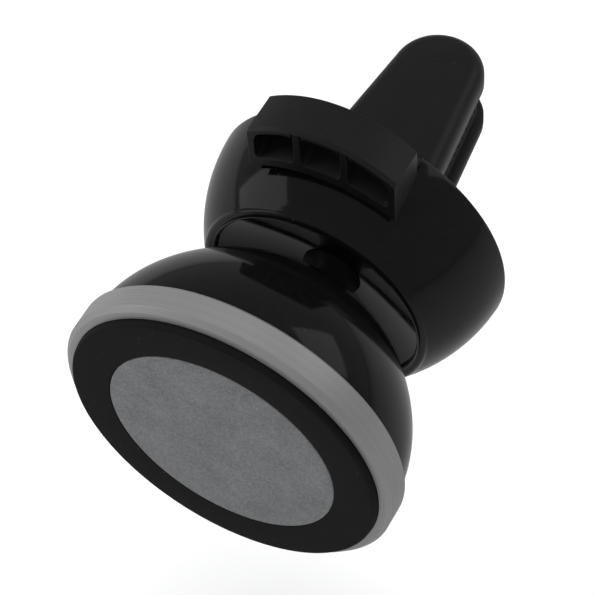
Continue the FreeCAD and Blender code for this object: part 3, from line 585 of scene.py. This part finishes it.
stud_low, stud_high = span("ball_stud")
BALL_R = stud_high[0]
BALL_Y = stud_low[1] + BALL_R
NECK_R = 2.5
ball_angle = np.linspace(0, math.pi - math.asin(NECK_R / BALL_R), 48)
ball_curve = np.stack([BALL_R * np.sin(ball_angle), BALL_Y - BALL_R * np.cos(ball_angle)], axis=1)
flange_y = DISH_FLOOR_Y - FLANGE_T
shank_end_y = stud_high[1]
shank_corners = [(NECK_R, flange_y - FLANGE_CONE), (STUD_FLANGE_R, flange_y),
                 (STUD_FLANGE_R, DISH_FLOOR_Y), (SHANK_R, DISH_FLOOR_Y),
                 (SHANK_R, shank_end_y - SHANK_CHAMFER), (SHANK_R - SHANK_CHAMFER, shank_end_y),
                 (0, shank_end_y)]
stud_section = np.concatenate([ball_curve, shank_corners])
solid("ball_and_neck", [turned(stud_section, wrap=False)], "body", stud_black,
      "black_steel", ["ball_stud"])

# %% [markdown]
# ## The bowl-shaped body
# The bowl is a wall turned round the axis, with a notch on top, open at the back, where the lever
# comes out. Cutting it with a Boolean leaves ragged faces. Here the columns of the grid bend so that
# two of them run exactly along the notch's straight sides, and the faces between them are left out.

# %% Bowl with its notch
drum_low, drum_high = span("drum_shell")
lever_joint = next(joint for joint in frame["joints"] if joint["name"] == "lever_press")
PIVOT_Y, PIVOT_Z = in_mm(lever_joint["pos_m"])[1:]
lever_low, lever_high = span("clip_lever")
TAB_HALF = lever_high[0]
NECK_HALF = TAB_HALF - 1.22
NECK_FRONT_Y = PIVOT_Y - 2.5
NOTCH_HALF = NECK_HALF + 0.35
NOTCH_FRONT_Y = NECK_FRONT_Y - 1.5
RIM_Y = drum_low[1]
RIM_R = 15.05
RIM_WIDTH = 1.5
RIM_ROUND = 0.6
RIM_INNER_ROUND = 1.3
SEAT_DEPTH = 3.0        # behind the rim, where the dish is seated
INSIDE_DEPTH = 3.2      # behind the rim, where the bowl's inside begins
INSIDE_INSET = 1.2      # and how far within the rim's radius
BOWL_R = drum_high[0]
BOWL_BACK_Y = drum_high[1]
BOWL_WALL = 1.6
BOWL_BULGE = 0.95
BACK_ROUND = 0.25
BACK_ROUND_MIDDLE = 0.08    # how far inside the corner the middle of that rounding lies
MIDDLE_THINNER = 0.1        # the wall at the bowl's middle is thinner by this
CURVE_POINTS = 400
AHEAD_STRIDE = 8        # one in so many of a curve's points makes a row in front of the notch
ROW_GAP = 0.1           # mm: the least step from such a row to the notch
BESIDE_ROWS = 28
ACROSS_COLUMNS = 40


def split_at_notch(curve):
    """Rows of a curve in front of the notch, and an even set beside it, from its front edge back."""
    ahead = curve[curve[:, 1] < NOTCH_FRONT_Y - ROW_GAP]
    depth = np.linspace(NOTCH_FRONT_Y, curve[-1, 1], BESIDE_ROWS)
    return ahead[::AHEAD_STRIDE], np.stack([np.interp(depth, curve[:, 1], curve[:, 0]), depth], axis=1)


def bowl_angles(radius):
    """Columns of a row: even round the bowl, but with two of them at x = -half and +half on top."""
    edge = np.arcsin(NOTCH_HALF / radius)[:, None]
    across = np.linspace(-1, 1, ACROSS_COLUMNS)[None, :] * edge
    rest = np.linspace(0, 1, TURN_STEPS - ACROSS_COLUMNS + 2)[None, 1:-1]
    return np.concatenate([across, edge + rest * 2 * (math.pi - edge)], axis=1)


def edge_walls(first, second):
    """Quads between two rows of point numbers that run side by side."""
    return np.stack([first[:-1], first[1:], second[1:], second[:-1]], axis=1)


bowl_mid = ((RIM_R + BOWL_R) / 2 + BOWL_BULGE, (RIM_Y + BOWL_BACK_Y) / 2)
outside = arc_through((RIM_R, RIM_Y + RIM_ROUND), bowl_mid, (BOWL_R, BOWL_BACK_Y - BACK_ROUND),
                      CURVE_POINTS)
inside = arc_through((RIM_R - INSIDE_INSET, RIM_Y + INSIDE_DEPTH),
                     (bowl_mid[0] - BOWL_WALL + MIDDLE_THINNER, bowl_mid[1]),
                     (BOWL_R - BOWL_WALL, BOWL_BACK_Y), CURVE_POINTS)
out_ahead, out_beside = split_at_notch(outside)
in_ahead, in_beside = split_at_notch(inside)
lip_angle = np.linspace(0, math.pi, 14)[1:-1]
lip_depth = np.where(lip_angle < math.pi / 2, RIM_INNER_ROUND, RIM_ROUND)
lip = np.stack([RIM_R - RIM_WIDTH / 2 * (1 + np.cos(lip_angle)),
                RIM_Y + lip_depth * (1 - np.sin(lip_angle))], axis=1)
seat = np.array([(RIM_R - RIM_WIDTH, RIM_Y + SEAT_DEPTH), (RIM_R - RIM_WIDTH, RIM_Y + RIM_INNER_ROUND)])
tail = np.array([(BOWL_R - BACK_ROUND_MIDDLE, BOWL_BACK_Y - BACK_ROUND_MIDDLE),
                 (BOWL_R - BACK_ROUND, BOWL_BACK_Y)])
rows = [seat, lip, out_ahead, out_beside, tail, in_beside[::-1], in_ahead[::-1]]
notch_first = sum(len(part) for part in rows[:3])
notch_last = notch_first + 2 * BESIDE_ROWS + len(tail) - 1
bowl_section = np.concatenate(rows)
angles = bowl_angles(bowl_section[:, 0])
radius = bowl_section[:, :1]
depth = np.broadcast_to(bowl_section[:, 1:], angles.shape)
bowl_grid = np.stack([radius * np.sin(angles), depth, radius * np.cos(angles)], axis=-1)
bowl_points, faces = shell(bowl_grid, True, True)
columns = angles.shape[1]
face_row, face_column = faces[:, 0] // columns, faces[:, 0] % columns
in_notch = (face_column < ACROSS_COLUMNS - 1) & (face_row >= notch_first) & (face_row < notch_last)
front_wall = edge_walls(notch_first * columns + np.arange(ACROSS_COLUMNS),
                        notch_last * columns + np.arange(ACROSS_COLUMNS))
bowl_shell = (bowl_points, np.concatenate([faces[~in_notch], front_wall]))
solid("body_bowl", [bowl_shell], "body", gloss_black, "gloss_black", ["drum_shell"], soften=0.12)

# %% [markdown]
# ## The thumb tab
# The lever's tab is a curved bar with three pockets in its front. Its section is the same all the
# way across, but its top follows an arc and its floor a cone that stands off the bowl, so it is a
# section carried along X. The pockets are then pushed back into its front faces.

# %% Thumb tab
TAB_FRONT_Y = lever_low[1]
TAB_BACK_Y = PIVOT_Y + 0.55
TAB_TOP_Z = lever_high[2]
TAB_ARC_R = 16.2
TAB_CHAMFER = 0.45
TAB_SKIN = 0.9
FLOOR_FRONT_R = BOWL_R - 0.4
FLOOR_BACK_R = BOWL_R + 1.6
FLOOR_T = 1.3
POCKETS = 3
POCKET_CORNER = 0.8
RIB = 0.85
POCKET_DEPTH = 3.4
ON_FRONT = 0.01         # mm: a face this close to the tab's front belongs to it
floor_slope = (FLOOR_BACK_R - FLOOR_FRONT_R) / (TAB_BACK_Y - TAB_FRONT_Y)
pockets_half = TAB_HALF - TAB_SKIN
pocket_width = (2 * pockets_half - RIB * (POCKETS - 1)) / POCKETS
pocket_starts = -pockets_half + (pocket_width + RIB) * np.arange(POCKETS)


def tab_floor(x, y):
    """Height of the tab's floor: a circle round the body axis whose radius grows with the depth."""
    return np.sqrt((FLOOR_FRONT_R + floor_slope * (y - TAB_FRONT_Y)) ** 2 - x ** 2)


def tab_top(x, skin=0.0):
    """Height of the arc along the tab's top, drawn in by a skin."""
    return TAB_TOP_Z - TAB_ARC_R + np.sqrt((TAB_ARC_R - skin) ** 2 - x ** 2)


def corner_lift(x):
    """Rounding of the pockets' corners: how far a quarter circle rises over the pocket's own edge."""
    inward = np.minimum(x[:, None] - pocket_starts, pocket_starts + pocket_width - x[:, None])
    left_over = POCKET_CORNER - np.clip(inward.max(axis=1), 0, POCKET_CORNER)
    return POCKET_CORNER - np.sqrt(POCKET_CORNER ** 2 - left_over ** 2)


def tab_columns(edges, widest=0.2):
    """Places across the tab: every edge, with even steps between one edge and the next."""
    parts = []
    for first, last in zip(edges, edges[1:]):
        count = max(2, math.ceil((last - first) / widest) + 1)
        parts.append(np.linspace(first, last, count)[:-1])
    return np.concatenate(parts + [edges[-1:]])


def carried(x, section):
    """Shell of a section carried along X. Each corner has a depth, and a height for every x."""
    lines = [np.column_stack([x, np.full_like(x, y), z]) for y, z in section]
    return shell(np.stack(lines, axis=1), False, True)


def tab_block(edges):
    """The tab's section carried along X: up the front, over the chamfer, down the back."""
    x = tab_columns(edges)
    lift = corner_lift(x)
    front_floor = tab_floor(x, TAB_FRONT_Y)
    return carried(x, [
        (TAB_FRONT_Y, front_floor),
        (TAB_FRONT_Y, front_floor + FLOOR_T + lift),
        (TAB_FRONT_Y, tab_top(x, TAB_SKIN) - lift),
        (TAB_FRONT_Y, tab_top(x) - TAB_CHAMFER),
        (TAB_FRONT_Y + TAB_CHAMFER, tab_top(x)),
        (TAB_BACK_Y, tab_top(x)),
        (TAB_BACK_Y, tab_floor(x, TAB_BACK_Y)),
    ])


def before_pocket(face, start, end):
    """Whether a face of the tab lies on its front, where a pocket goes in."""
    x, y, z = in_mm(face.calc_center_median())
    low, high = tab_floor(x, y) + FLOOR_T, tab_top(x, TAB_SKIN)
    return abs(y - TAB_FRONT_Y) < ON_FRONT and start < x < end and low < z < high


def pushed_back(work, start, end):
    """Pushes the front faces between two places across the tab back into a pocket."""
    chosen = [face for face in work.faces if before_pocket(face, start, end)]
    grown = bmesh.ops.extrude_face_region(work, geom=chosen)["geom"]
    for point in (part for part in grown if isinstance(part, bmesh.types.BMVert)):
        x, y, z = in_mm(point.co)
        low, high = tab_floor(x, y) + FLOOR_T, tab_top(x, TAB_SKIN)
        rise = tab_floor(x, y + POCKET_DEPTH) - tab_floor(x, y)
        moved = (x, y + POCKET_DEPTH, z + rise * (high - z) / (high - low))
        point.co = Vector(in_frame(moved))
    bmesh.ops.delete(work, geom=chosen, context="FACES_ONLY")


pocket_edges = [x for start in pocket_starts for x in (start, start + pocket_width)]
edges = np.array([-TAB_HALF, *pocket_edges, TAB_HALF])
tab_mesh = closed_mesh("thumb_tab", [tab_block(edges)])
work = bmesh.new()
work.from_mesh(tab_mesh)
for start in pocket_starts:
    pushed_back(work, start, start + pocket_width)
bmesh.ops.recalc_face_normals(work, faces=work.faces)
work.to_mesh(tab_mesh)
work.free()
piece("thumb_tab", tab_mesh, "lever", satin_black, "satin_black", ["clip_lever"], soften=0.07)

# %% [markdown]
# ## The two jaws
# Each jaw is a flat paddle: straight sides that draw in to a round tip, and an outer face whose edge
# is well rounded. Its plan is drawn once, at any inset from its edge. The section then climbs the
# side, follows the rounding inwards, and goes on to the middle line, where the paddle is a little
# crowned. So the paddle is a section carried along its own outline.

# %% Jaws
JAW_ROOT_Y = 37.2
JAW_TIP_Y = lever_high[1]
JAW_ROOT_HALF = 7.95
JAW_TIP_R = 5.85
JAW_ROUND = 2.1
JAW_T = 4.2
CROWN = 0.35
UPPER_LOW_Z = lever_low[2]
UPPER_TOP_Z = UPPER_LOW_Z + JAW_T
grip_low, grip_high = span("lower_grip")
LOWER_TOP_Z = grip_low[2]
LOWER_JAW_T = 3.9
LOWER_LOW_Z = LOWER_TOP_Z - LOWER_JAW_T
PADDLE_EDGE = 0.2       # height of the small chamfer round a jaw's inner face
ARM_HALF = 6.2
tip_centre_y = JAW_TIP_Y - JAW_TIP_R
taper = math.atan2(JAW_ROOT_HALF - JAW_TIP_R, tip_centre_y - JAW_ROOT_Y)


def paddle_outline(inset, side_steps=16, tip_steps=48):
    """Plan of a jaw drawn in by an inset: side, half turn round the tip, side."""
    tip_r = max(JAW_TIP_R - inset, 0)
    touch = np.array([tip_r * math.cos(taper), tip_centre_y + tip_r * math.sin(taper)])
    root = np.array([touch[0] + (touch[1] - JAW_ROOT_Y) * math.tan(taper), JAW_ROOT_Y])
    swing = np.linspace(taper, math.pi - taper, tip_steps)
    tip = np.stack([tip_r * np.cos(swing), tip_centre_y + tip_r * np.sin(swing)], axis=1)
    share = np.linspace(0, 1, side_steps)[:-1, None]
    right = root + (touch - root) * share
    left = right[::-1] * (-1, 1)
    return np.concatenate([right, tip, left])


def paddle(inner_z, outer_z):
    """Closed paddle: its flat inner face, its side, the rounding and the crowned outer face."""
    up = np.sign(outer_z - inner_z)
    turn = np.linspace(0, math.pi / 2, 10)
    rounding = [(JAW_ROUND * (1 - math.cos(a)), outer_z - up * (JAW_ROUND * (1 - math.sin(a)) + CROWN))
                for a in turn]
    inward = np.linspace(0, 1, 12)[1:]
    face = [(JAW_ROUND + (JAW_TIP_R - JAW_ROUND) * t, outer_z - up * CROWN * (1 - t) ** 2)
            for t in inward]
    inner = [(JAW_TIP_R * t, inner_z) for t in (1, 0.5, 0.05)]
    rows = []
    for inset, z in inner + [(0, inner_z + up * PADDLE_EDGE)] + rounding + face:
        plan = paddle_outline(inset)
        rows.append(np.column_stack([plan, np.full(len(plan), z)]))
    ridge_out, ridge_in = rows[-1] * (0, 1, 1), rows[0] * (0, 1, 1)
    return shell(np.stack([ridge_in] + rows + [ridge_out]))


def block(low, high):
    """Box between two corners, as a grid of two rows with its ends closed later."""
    (x0, y0, z0), (x1, y1, z1) = low, high
    ring = np.array([(x0, z0), (x1, z0), (x1, z1), (x0, z1)])
    points = np.stack([np.column_stack([ring[:, 0], np.full(4, y), ring[:, 1]]) for y in (y0, y1)])
    return shell(points, False, True)


OVERLAP = 0.1           # mm: shells of one part run into each other, or stand back, by this
NECK_LOW_Z = PIVOT_Z + 2.7
NECK_INTO_JAW = 1.0
ARM_FRONT_Y = PIVOT_Y - 1.2
ARM_BACK_Y = PIVOT_Y + 1.3
ARM_TOP_Z = PIVOT_Z + 3.7
FORK_WIDTH = 3.1
neck_end_y = JAW_ROOT_Y + NECK_INTO_JAW
solid("upper_jaw", [paddle(UPPER_LOW_Z, UPPER_TOP_Z)], "lever", satin_black,
      "satin_black", ["clip_lever"])
upper_neck = block((-ARM_HALF, ARM_FRONT_Y, UPPER_LOW_Z), (ARM_HALF, neck_end_y, UPPER_TOP_Z))
fork = [block((side, ARM_FRONT_Y, UPPER_LOW_Z + OVERLAP), (side + FORK_WIDTH, ARM_BACK_Y, ARM_TOP_Z))
        for side in (-ARM_HALF, ARM_HALF - FORK_WIDTH)]
neck_x = np.linspace(-NECK_HALF, NECK_HALF, 24)
neck_low = np.full_like(neck_x, NECK_LOW_Z)
neck_back_y = TAB_BACK_Y - OVERLAP
tab_neck = carried(neck_x, [
    (NECK_FRONT_Y, neck_low),
    (neck_back_y, neck_low),
    (neck_back_y, tab_floor(neck_x, neck_back_y) + OVERLAP),
    (NECK_FRONT_Y, tab_floor(neck_x, NECK_FRONT_Y) + OVERLAP),
])
solid("lever_arm", [upper_neck, tab_neck] + fork, "lever", satin_black, "satin_black",
      ["clip_lever"], soften=0.2)
solid("lower_jaw_blade", [paddle(LOWER_TOP_Z, LOWER_LOW_Z)], "body", satin_black,
      "satin_black", ["lower_jaw"])

# %% [markdown]
# ## The inner frame
# Under the cover a round plate carries the fixed jaw, and two ears on it hold the pivot pin. A plate
# with a square hole is a grid too: one direction goes round, the other goes from the hole's outline
# to the rim, and each point is a mix of the two outlines.

# %% Inner frame
FRAME_Y = 33.3
FRAME_T = 1.4
SLOT_HALF = ARM_HALF + 0.5
SLOT_LOW_Z = 3.2
SLOT_TOP_Z = 14.5
PLATE_ROOM = 0.2        # between the plate's rim and the bowl's wall
EAR_IN = 6.5
EAR_T = 1.2
EAR_FRONT_Y = PIVOT_Y - 1.8
EAR_HALF_HEIGHT = 2.2
NECK_START = 0.2        # how deep in the plate the jaw's neck begins


def slotted_plate(radius, hole_low, hole_high, front_y, back_y):
    """Round plate with a rectangular hole: a ring of points mixes the hole's outline and the circle."""
    centre = (np.array(hole_low) + hole_high) / 2
    half = (np.array(hole_high) - hole_low) / 2
    corners = np.arctan2([half[1], half[1], -half[1], -half[1]], [half[0], -half[0], -half[0], half[0]])
    angle = np.sort(np.concatenate([np.linspace(-math.pi, math.pi, 96, endpoint=False), corners]))
    way = np.stack([np.cos(angle), np.sin(angle)], axis=1)
    hole = centre + way / np.abs(way / half).max(axis=1, keepdims=True)
    rows = []
    for share, y in ((0, back_y), (0.5, back_y), (1, back_y), (1, front_y), (0.5, front_y), (0, front_y)):
        flat = hole + (way * radius - hole) * share
        rows.append(np.column_stack([flat[:, 0], np.full(len(flat), y), flat[:, 1]]))
    return shell(np.stack(rows), True, True)


plate = slotted_plate(BOWL_R - BOWL_WALL - PLATE_ROOM, (-SLOT_HALF, SLOT_LOW_Z), (SLOT_HALF, SLOT_TOP_Z),
                      FRAME_Y, FRAME_Y + FRAME_T)
ears = [block((x, EAR_FRONT_Y, PIVOT_Z - EAR_HALF_HEIGHT),
              (x + EAR_T, FRAME_Y + OVERLAP, PIVOT_Z + EAR_HALF_HEIGHT)) for x in (EAR_IN, -EAR_IN - EAR_T)]
lower_neck = block((-ARM_HALF, FRAME_Y + NECK_START, LOWER_LOW_Z + OVERLAP),
                   (ARM_HALF, neck_end_y, LOWER_TOP_Z - OVERLAP))
solid("inner_frame", [plate, lower_neck] + ears, "body", satin_black, "satin_black", ["lower_jaw"])

# %% [markdown]
# ## The rubber grips
# A grip lines the inner face of each jaw, with ribs across it that hold a vent blade. The rib is a
# wave along Y: height = depth x (1 + cos) / 2, sharpened, on a strip that is as wide as the jaw's
# outline less a margin.

# %% Grips
GRIP_T = 2.5
GRIP_INSET = 0.9
GRIP_ROOT_Y = grip_low[1]
GRIP_TIP_Y = grip_high[1]
RIB_PITCH = 1.5
RIB_DEPTH = 0.45
RIB_SHARPNESS = 1.6     # the wave's power: the more, the narrower the valleys between ribs


def grip_half_width(y):
    """Half width of the jaw's outline at a depth, drawn in by the margin."""
    tip_r = JAW_TIP_R - GRIP_INSET
    touch_y = tip_centre_y + tip_r * math.sin(taper)
    side = tip_r * math.cos(taper) + (touch_y - y) * math.tan(taper)
    tip = np.sqrt(np.clip(tip_r ** 2 - (y - tip_centre_y) ** 2, 0, None))
    return np.where(y < touch_y, side, tip)


def grip_strip(back_z, face_z):
    """Strip with ribs on one face: the section runs round it and is carried from root to tip."""
    share = np.linspace(0, 1, 240)
    y = GRIP_ROOT_Y + (GRIP_TIP_Y - NEAR_AXIS - GRIP_ROOT_Y) * np.sin(share * math.pi / 2)
    half = grip_half_width(y)
    wave = (0.5 + 0.5 * np.cos(2 * math.pi * (y - GRIP_ROOT_Y) / RIB_PITCH)) ** RIB_SHARPNESS
    top = face_z - np.sign(face_z - back_z) * RIB_DEPTH * wave
    across = np.linspace(-1, 1, 9)
    faces = [(s, top) for s in across] + [(s, np.full_like(y, back_z)) for s in across[::-1]]
    rows = [np.stack([half * s, y, z], axis=1) for s, z in faces]
    return shell(np.stack(rows, axis=1), False, True)


for name, body, back_z, face_z in (("lower_grip_rubber", "body", LOWER_TOP_Z, LOWER_TOP_Z + GRIP_T),
                                   ("upper_grip_rubber", "lever", UPPER_LOW_Z, UPPER_LOW_Z - GRIP_T)):
    node = name.removesuffix("_rubber")
    solid(name, [grip_strip(back_z, face_z)], body, grip_rubber, "grip_rubber", [node], soften=0.08)

# %% [markdown]
# ## The back cover
# The rear cover, with its slot, sunk screw holes and curved tongue, is already right, down to the
# chamfer round its edge. A copy of its mesh keeps every size. Its loose triangles are merged, so that
# curved walls shade smoothly, and edges sharper than an angle stay crisp.

# %% Back cover
CRISP_ANGLE = math.radians(25)
cover_mesh = frame["nodes"]["rear_cover"].data.copy()
cover_mesh.materials.clear()
work = bmesh.new()
work.from_mesh(cover_mesh)
bmesh.ops.remove_doubles(work, verts=work.verts, dist=SAME * MM)
work.to_mesh(cover_mesh)
work.free()
piece("back_cover", cover_mesh, "body", satin_black, "satin_black", ["rear_cover"])
cover_mesh.set_sharp_from_angle(angle=CRISP_ANGLE)

# %% [markdown]
# ## Screws with a cross recess
# A screw head is turned, but its cross recess is not round. Seen from above, the cross is still a
# curve that each ray from the middle meets once, so the head is one more grid: rings that go from
# the rim to the cross, down its walls and in to a point.

# %% Cover screws
SCREW_HEAD_R = 1.5
SCREW_R = 0.8
SCREW_HEAD_T = 0.9
CROSS_ARM = 0.95
CROSS_HALF = 0.24
CROSS_DEPTH = 0.6
CROSS_TAPER = 0.9       # the cross's floor, as a share of its mouth
SCREW_LENGTH = 4.4
SCREW_POINT = 0.4       # length of the taper at the screw's end
POINT_SHARE = 0.6
HEAD_PROFILE = [(1, 0), (1, 0.55), (0.93, 0.85), (0.8, 1)]  # shares of the head's radius and height
SCREW_TURNS = np.radians([-15.0, -90.0, 195.0])


def cross_radius(angle):
    """Distance to the outline of a plus sign: the near arm's end or its side, whichever is closer."""
    turn = np.abs((angle + math.pi / 4) % (math.pi / 2) - math.pi / 4)
    return np.minimum(CROSS_ARM / np.cos(turn), CROSS_HALF / np.maximum(np.sin(turn), 1e-6))


def cross_screw(x, z, head_y, length):
    """Screw along Y with its head behind: rings for the shank, the head's side, its top and the cross."""
    angle = np.linspace(0, 2 * math.pi, 96, endpoint=False)
    cross = cross_radius(angle)
    end_y, top_y = head_y - length, head_y + SCREW_HEAD_T
    shank = [(NEAR_AXIS, end_y), (SCREW_R * POINT_SHARE, end_y), (SCREW_R, end_y + SCREW_POINT),
             (SCREW_R, head_y)]
    head = [(SCREW_HEAD_R * out, head_y + SCREW_HEAD_T * up) for out, up in HEAD_PROFILE]
    recess = [(cross, top_y), (cross * CROSS_TAPER, top_y - CROSS_DEPTH), (NEAR_AXIS, top_y - CROSS_DEPTH)]
    rows = [np.column_stack([x + r * np.sin(angle), np.full(len(angle), y), z + r * np.cos(angle)])
            for r, y in shank + head + recess]
    return shell(np.stack(rows), False, True)


screw_low, screw_high = span("cover_screws")
SCREW_PITCH_R = -screw_low[2] - SCREW_HEAD_R
screws = [cross_screw(SCREW_PITCH_R * math.cos(a), SCREW_PITCH_R * math.sin(a),
                      screw_high[1] - SCREW_HEAD_T, SCREW_LENGTH) for a in SCREW_TURNS]
solid("cover_screw_set", screws, "body", black_steel, "black_steel", ["cover_screws"], soften=0.03)

# %% [markdown]
# ## The torsion spring
# The spring that shuts the jaws is a wire: a circle carried along a path. The path is a helix round
# the pin, with a straight leg at each end. At every step the circle is turned to stand square to the
# path.

# %% Spring
WIRE_R = 0.33
TURNS = 6.5
COIL_R = 1.75
COIL_HALF = 1.9
HELIX_POINTS = 400
LEVER_LEG = 2.2         # short enough to stay clear of the arm when the lever is pressed
FRAME_LEG = 7.3
LEG_GAP = 0.2           # from the coil's end to the first point of a leg
ASIDE = (0.12, 0.99, 0.05)  # any direction that the path never runs along


def wire(path, radius, sides=14):
    """Tube round a path: a circle in the plane of two vectors square to the path, at each point."""
    ahead = np.gradient(path, axis=0)
    ahead /= np.linalg.norm(ahead, axis=1, keepdims=True)
    first = np.cross(ahead, ASIDE)
    first /= np.linalg.norm(first, axis=1, keepdims=True)
    second = np.cross(ahead, first)
    angle = np.linspace(0, 2 * math.pi, sides, endpoint=False)[None, :, None]
    return path[:, None] + radius * (np.cos(angle) * first[:, None] + np.sin(angle) * second[:, None])


angle = np.linspace(0, TURNS * 2 * math.pi, HELIX_POINTS)
helix = np.stack([np.linspace(COIL_HALF, -COIL_HALF, HELIX_POINTS), PIVOT_Y + COIL_R * np.cos(angle),
                  PIVOT_Z + COIL_R * np.sin(angle)], axis=1)
lever_leg = helix[0] + np.linspace(-LEVER_LEG, -LEG_GAP, 12)[:, None] * (0, 0, 1)
frame_leg = helix[-1] + np.linspace(LEG_GAP, FRAME_LEG, 16)[:, None] * (0, 0, -1)
spring_path = np.concatenate([lever_leg, helix, frame_leg])
solid("spring_coil", [shell(wire(spring_path, WIRE_R), False, True)], "body",
      spring_steel, "spring_steel", ["torsion_spring"])

# %% [markdown]
# ## What stays hidden
# The magnets, the socket, the liners, the nut and the pin are inside. They keep their engineered
# meshes, and each gets the finish of what it is made of, because the mount may be taken apart.

# %% Finishes for the inner pieces
INNER = {
    inner_plastic: ["magnet_carrier", "socket_front", "socket_retainer"],
    nylon: ["inner_liner", "outer_liner"],
    nickel: ["magnets"],
    steel: ["yoke_plate", "carrier_screws", "socket_screws", "stud_washer", "stud_nut", "frame_screws",
            "pivot_pin"],
    spring_steel: ["wave_washer", "pin_clips"],
}
for finish_used, nodes in INNER.items():
    for node in nodes:
        frame["nodes"][node].data.materials.clear()
        frame["nodes"][node].data.materials.append(finish_used)
print(sum(len(nodes) for nodes in INNER.values()), "inner pieces have a finish")

# %% [markdown]
# ## Camera
# The camera looks down on the phone face from the front right. Its place is given by two angles, a
# small roll and a distance, which is easier to change than a matrix. A long lens keeps the mount's
# proportions calm.

# %% Camera
VIEW_AZIMUTH = math.radians(31.622)
VIEW_ELEVATION = math.radians(53.717)
VIEW_ROLL = math.radians(-4.347)
VIEW_DISTANCE = 299.839
VIEW_ASIDE = np.array([8.917, 16.879])
LENS = 157.19

view_back = np.array([math.sin(VIEW_AZIMUTH) * math.cos(VIEW_ELEVATION),
                      -math.cos(VIEW_AZIMUTH) * math.cos(VIEW_ELEVATION), math.sin(VIEW_ELEVATION)])
level = np.array([math.cos(VIEW_AZIMUTH), math.sin(VIEW_AZIMUTH), 0.0])
upright = np.cross(view_back, level)
view_right = level * math.cos(VIEW_ROLL) + upright * math.sin(VIEW_ROLL)
view_up = np.cross(view_back, view_right)
eye = VIEW_ASIDE[0] * view_right + VIEW_ASIDE[1] * view_up + VIEW_DISTANCE * view_back
camera_data = bpy.data.cameras.new("camera")
camera_data.lens = LENS
camera_data.clip_start = 0.01
camera = bpy.data.objects.new("camera", camera_data)
turn = Matrix(np.stack([view_right, view_up, view_back], axis=1).tolist()).to_4x4()
camera.matrix_world = Matrix.Translation(Vector(in_frame(eye))) @ turn
bpy.context.scene.collection.objects.link(camera)
bpy.context.scene.camera = camera
print("camera at", tuple(camera.location))

# %% [markdown]
# ## Floor and light
# Black gloss shows nothing but its surroundings. So the keys that light the mount stay out of its
# reflections, and what is reflected is dim and large: a pale floor, painted darker in reflections
# only, a dark room and two cards.

# %% Floor
FLOOR_DROP = 0.045
FLOOR_HALF = 1.6
FLOOR_WHITE = 0.98
FLOOR_IN_GLOSS = 0.36    # how white the floor is to a reflection: a painted reflection, the floor's colour darkened for reflected rays only, so the gloss shows it dimmer than the camera does
floor_z = cad_low.z - FLOOR_DROP
floor_mesh = bpy.data.meshes.new("floor")
floor_corners = [(x * FLOOR_HALF, y * FLOOR_HALF, floor_z) for x, y in ((-1, -1), (1, -1), (1, 1), (-1, 1))]
floor_mesh.from_pydata(floor_corners, [], [(0, 1, 2, 3)])
floor_finish = bpy.data.materials.new("pale floor")
floor_finish.use_nodes = True
floor_shader = floor_finish.node_tree.nodes["Principled BSDF"]
# Painted reflection: the floor's colour drops from FLOOR_WHITE to FLOOR_IN_GLOSS for reflected rays, so it
# looks darker in the gloss than it is.
ray = add(floor_finish.node_tree, "ShaderNodeLightPath").outputs["Is Glossy Ray"]
floor_white_dimmed_in_reflections = mixed(floor_finish.node_tree, ray, FLOOR_WHITE, FLOOR_IN_GLOSS)
floor_finish.node_tree.links.new(floor_white_dimmed_in_reflections, floor_shader.inputs["Base Color"])
floor_shader.inputs["Roughness"].default_value = 0.9
floor_mesh.materials.append(floor_finish)
floor = bpy.data.objects.new("floor", floor_mesh)
bpy.context.scene.collection.objects.link(floor)
print("floor", FLOOR_DROP, "m under the mount")


# %% Lamps
def soft_lamp(name, place, size, glow, reflected=True):
    """Rectangular lamp that faces the mount. Its glow is how bright its surface looks; the power that
    gives it is pi x area x glow."""
    data = bpy.data.lights.new(name, "AREA")
    data.shape = "RECTANGLE"
    data.size, data.size_y = size
    data.energy = math.pi * size[0] * size[1] * glow
    lamp = bpy.data.objects.new(name, data)
    lamp.location = place
    lamp.rotation_mode = "QUATERNION"
    lamp.rotation_quaternion = (-Vector(place)).to_track_quat("-Z", "Y")
    lamp.visible_glossy = reflected
    bpy.context.scene.collection.objects.link(lamp)


soft_lamp("left key", (-0.75, -0.25, 0.75), (0.5, 0.5), 8.0, reflected=False)
soft_lamp("front key", (0.35, -0.85, 0.6), (0.5, 0.5), 3.4, reflected=False)
soft_lamp("top key", (0.0, 0.4, 1.1), (0.9, 0.5), 6.0, reflected=False)
soft_lamp("left card", (-0.86, -0.3, 0.34), (0.5, 0.7), 0.75)
soft_lamp("right card", (0.52, 0.62, 0.52), (0.5, 0.5), 0.6)
world = bpy.data.worlds.new("pale room")
world.use_nodes = True
world.node_tree.nodes["Background"].inputs["Color"].default_value = (0.97, 0.98, 1.0, 1)
world.node_tree.nodes["Background"].inputs["Strength"].default_value = 0.24
bpy.context.scene.world = world
bpy.context.scene.view_settings.view_transform = "Standard"
print("three keys, two cards and a pale room")
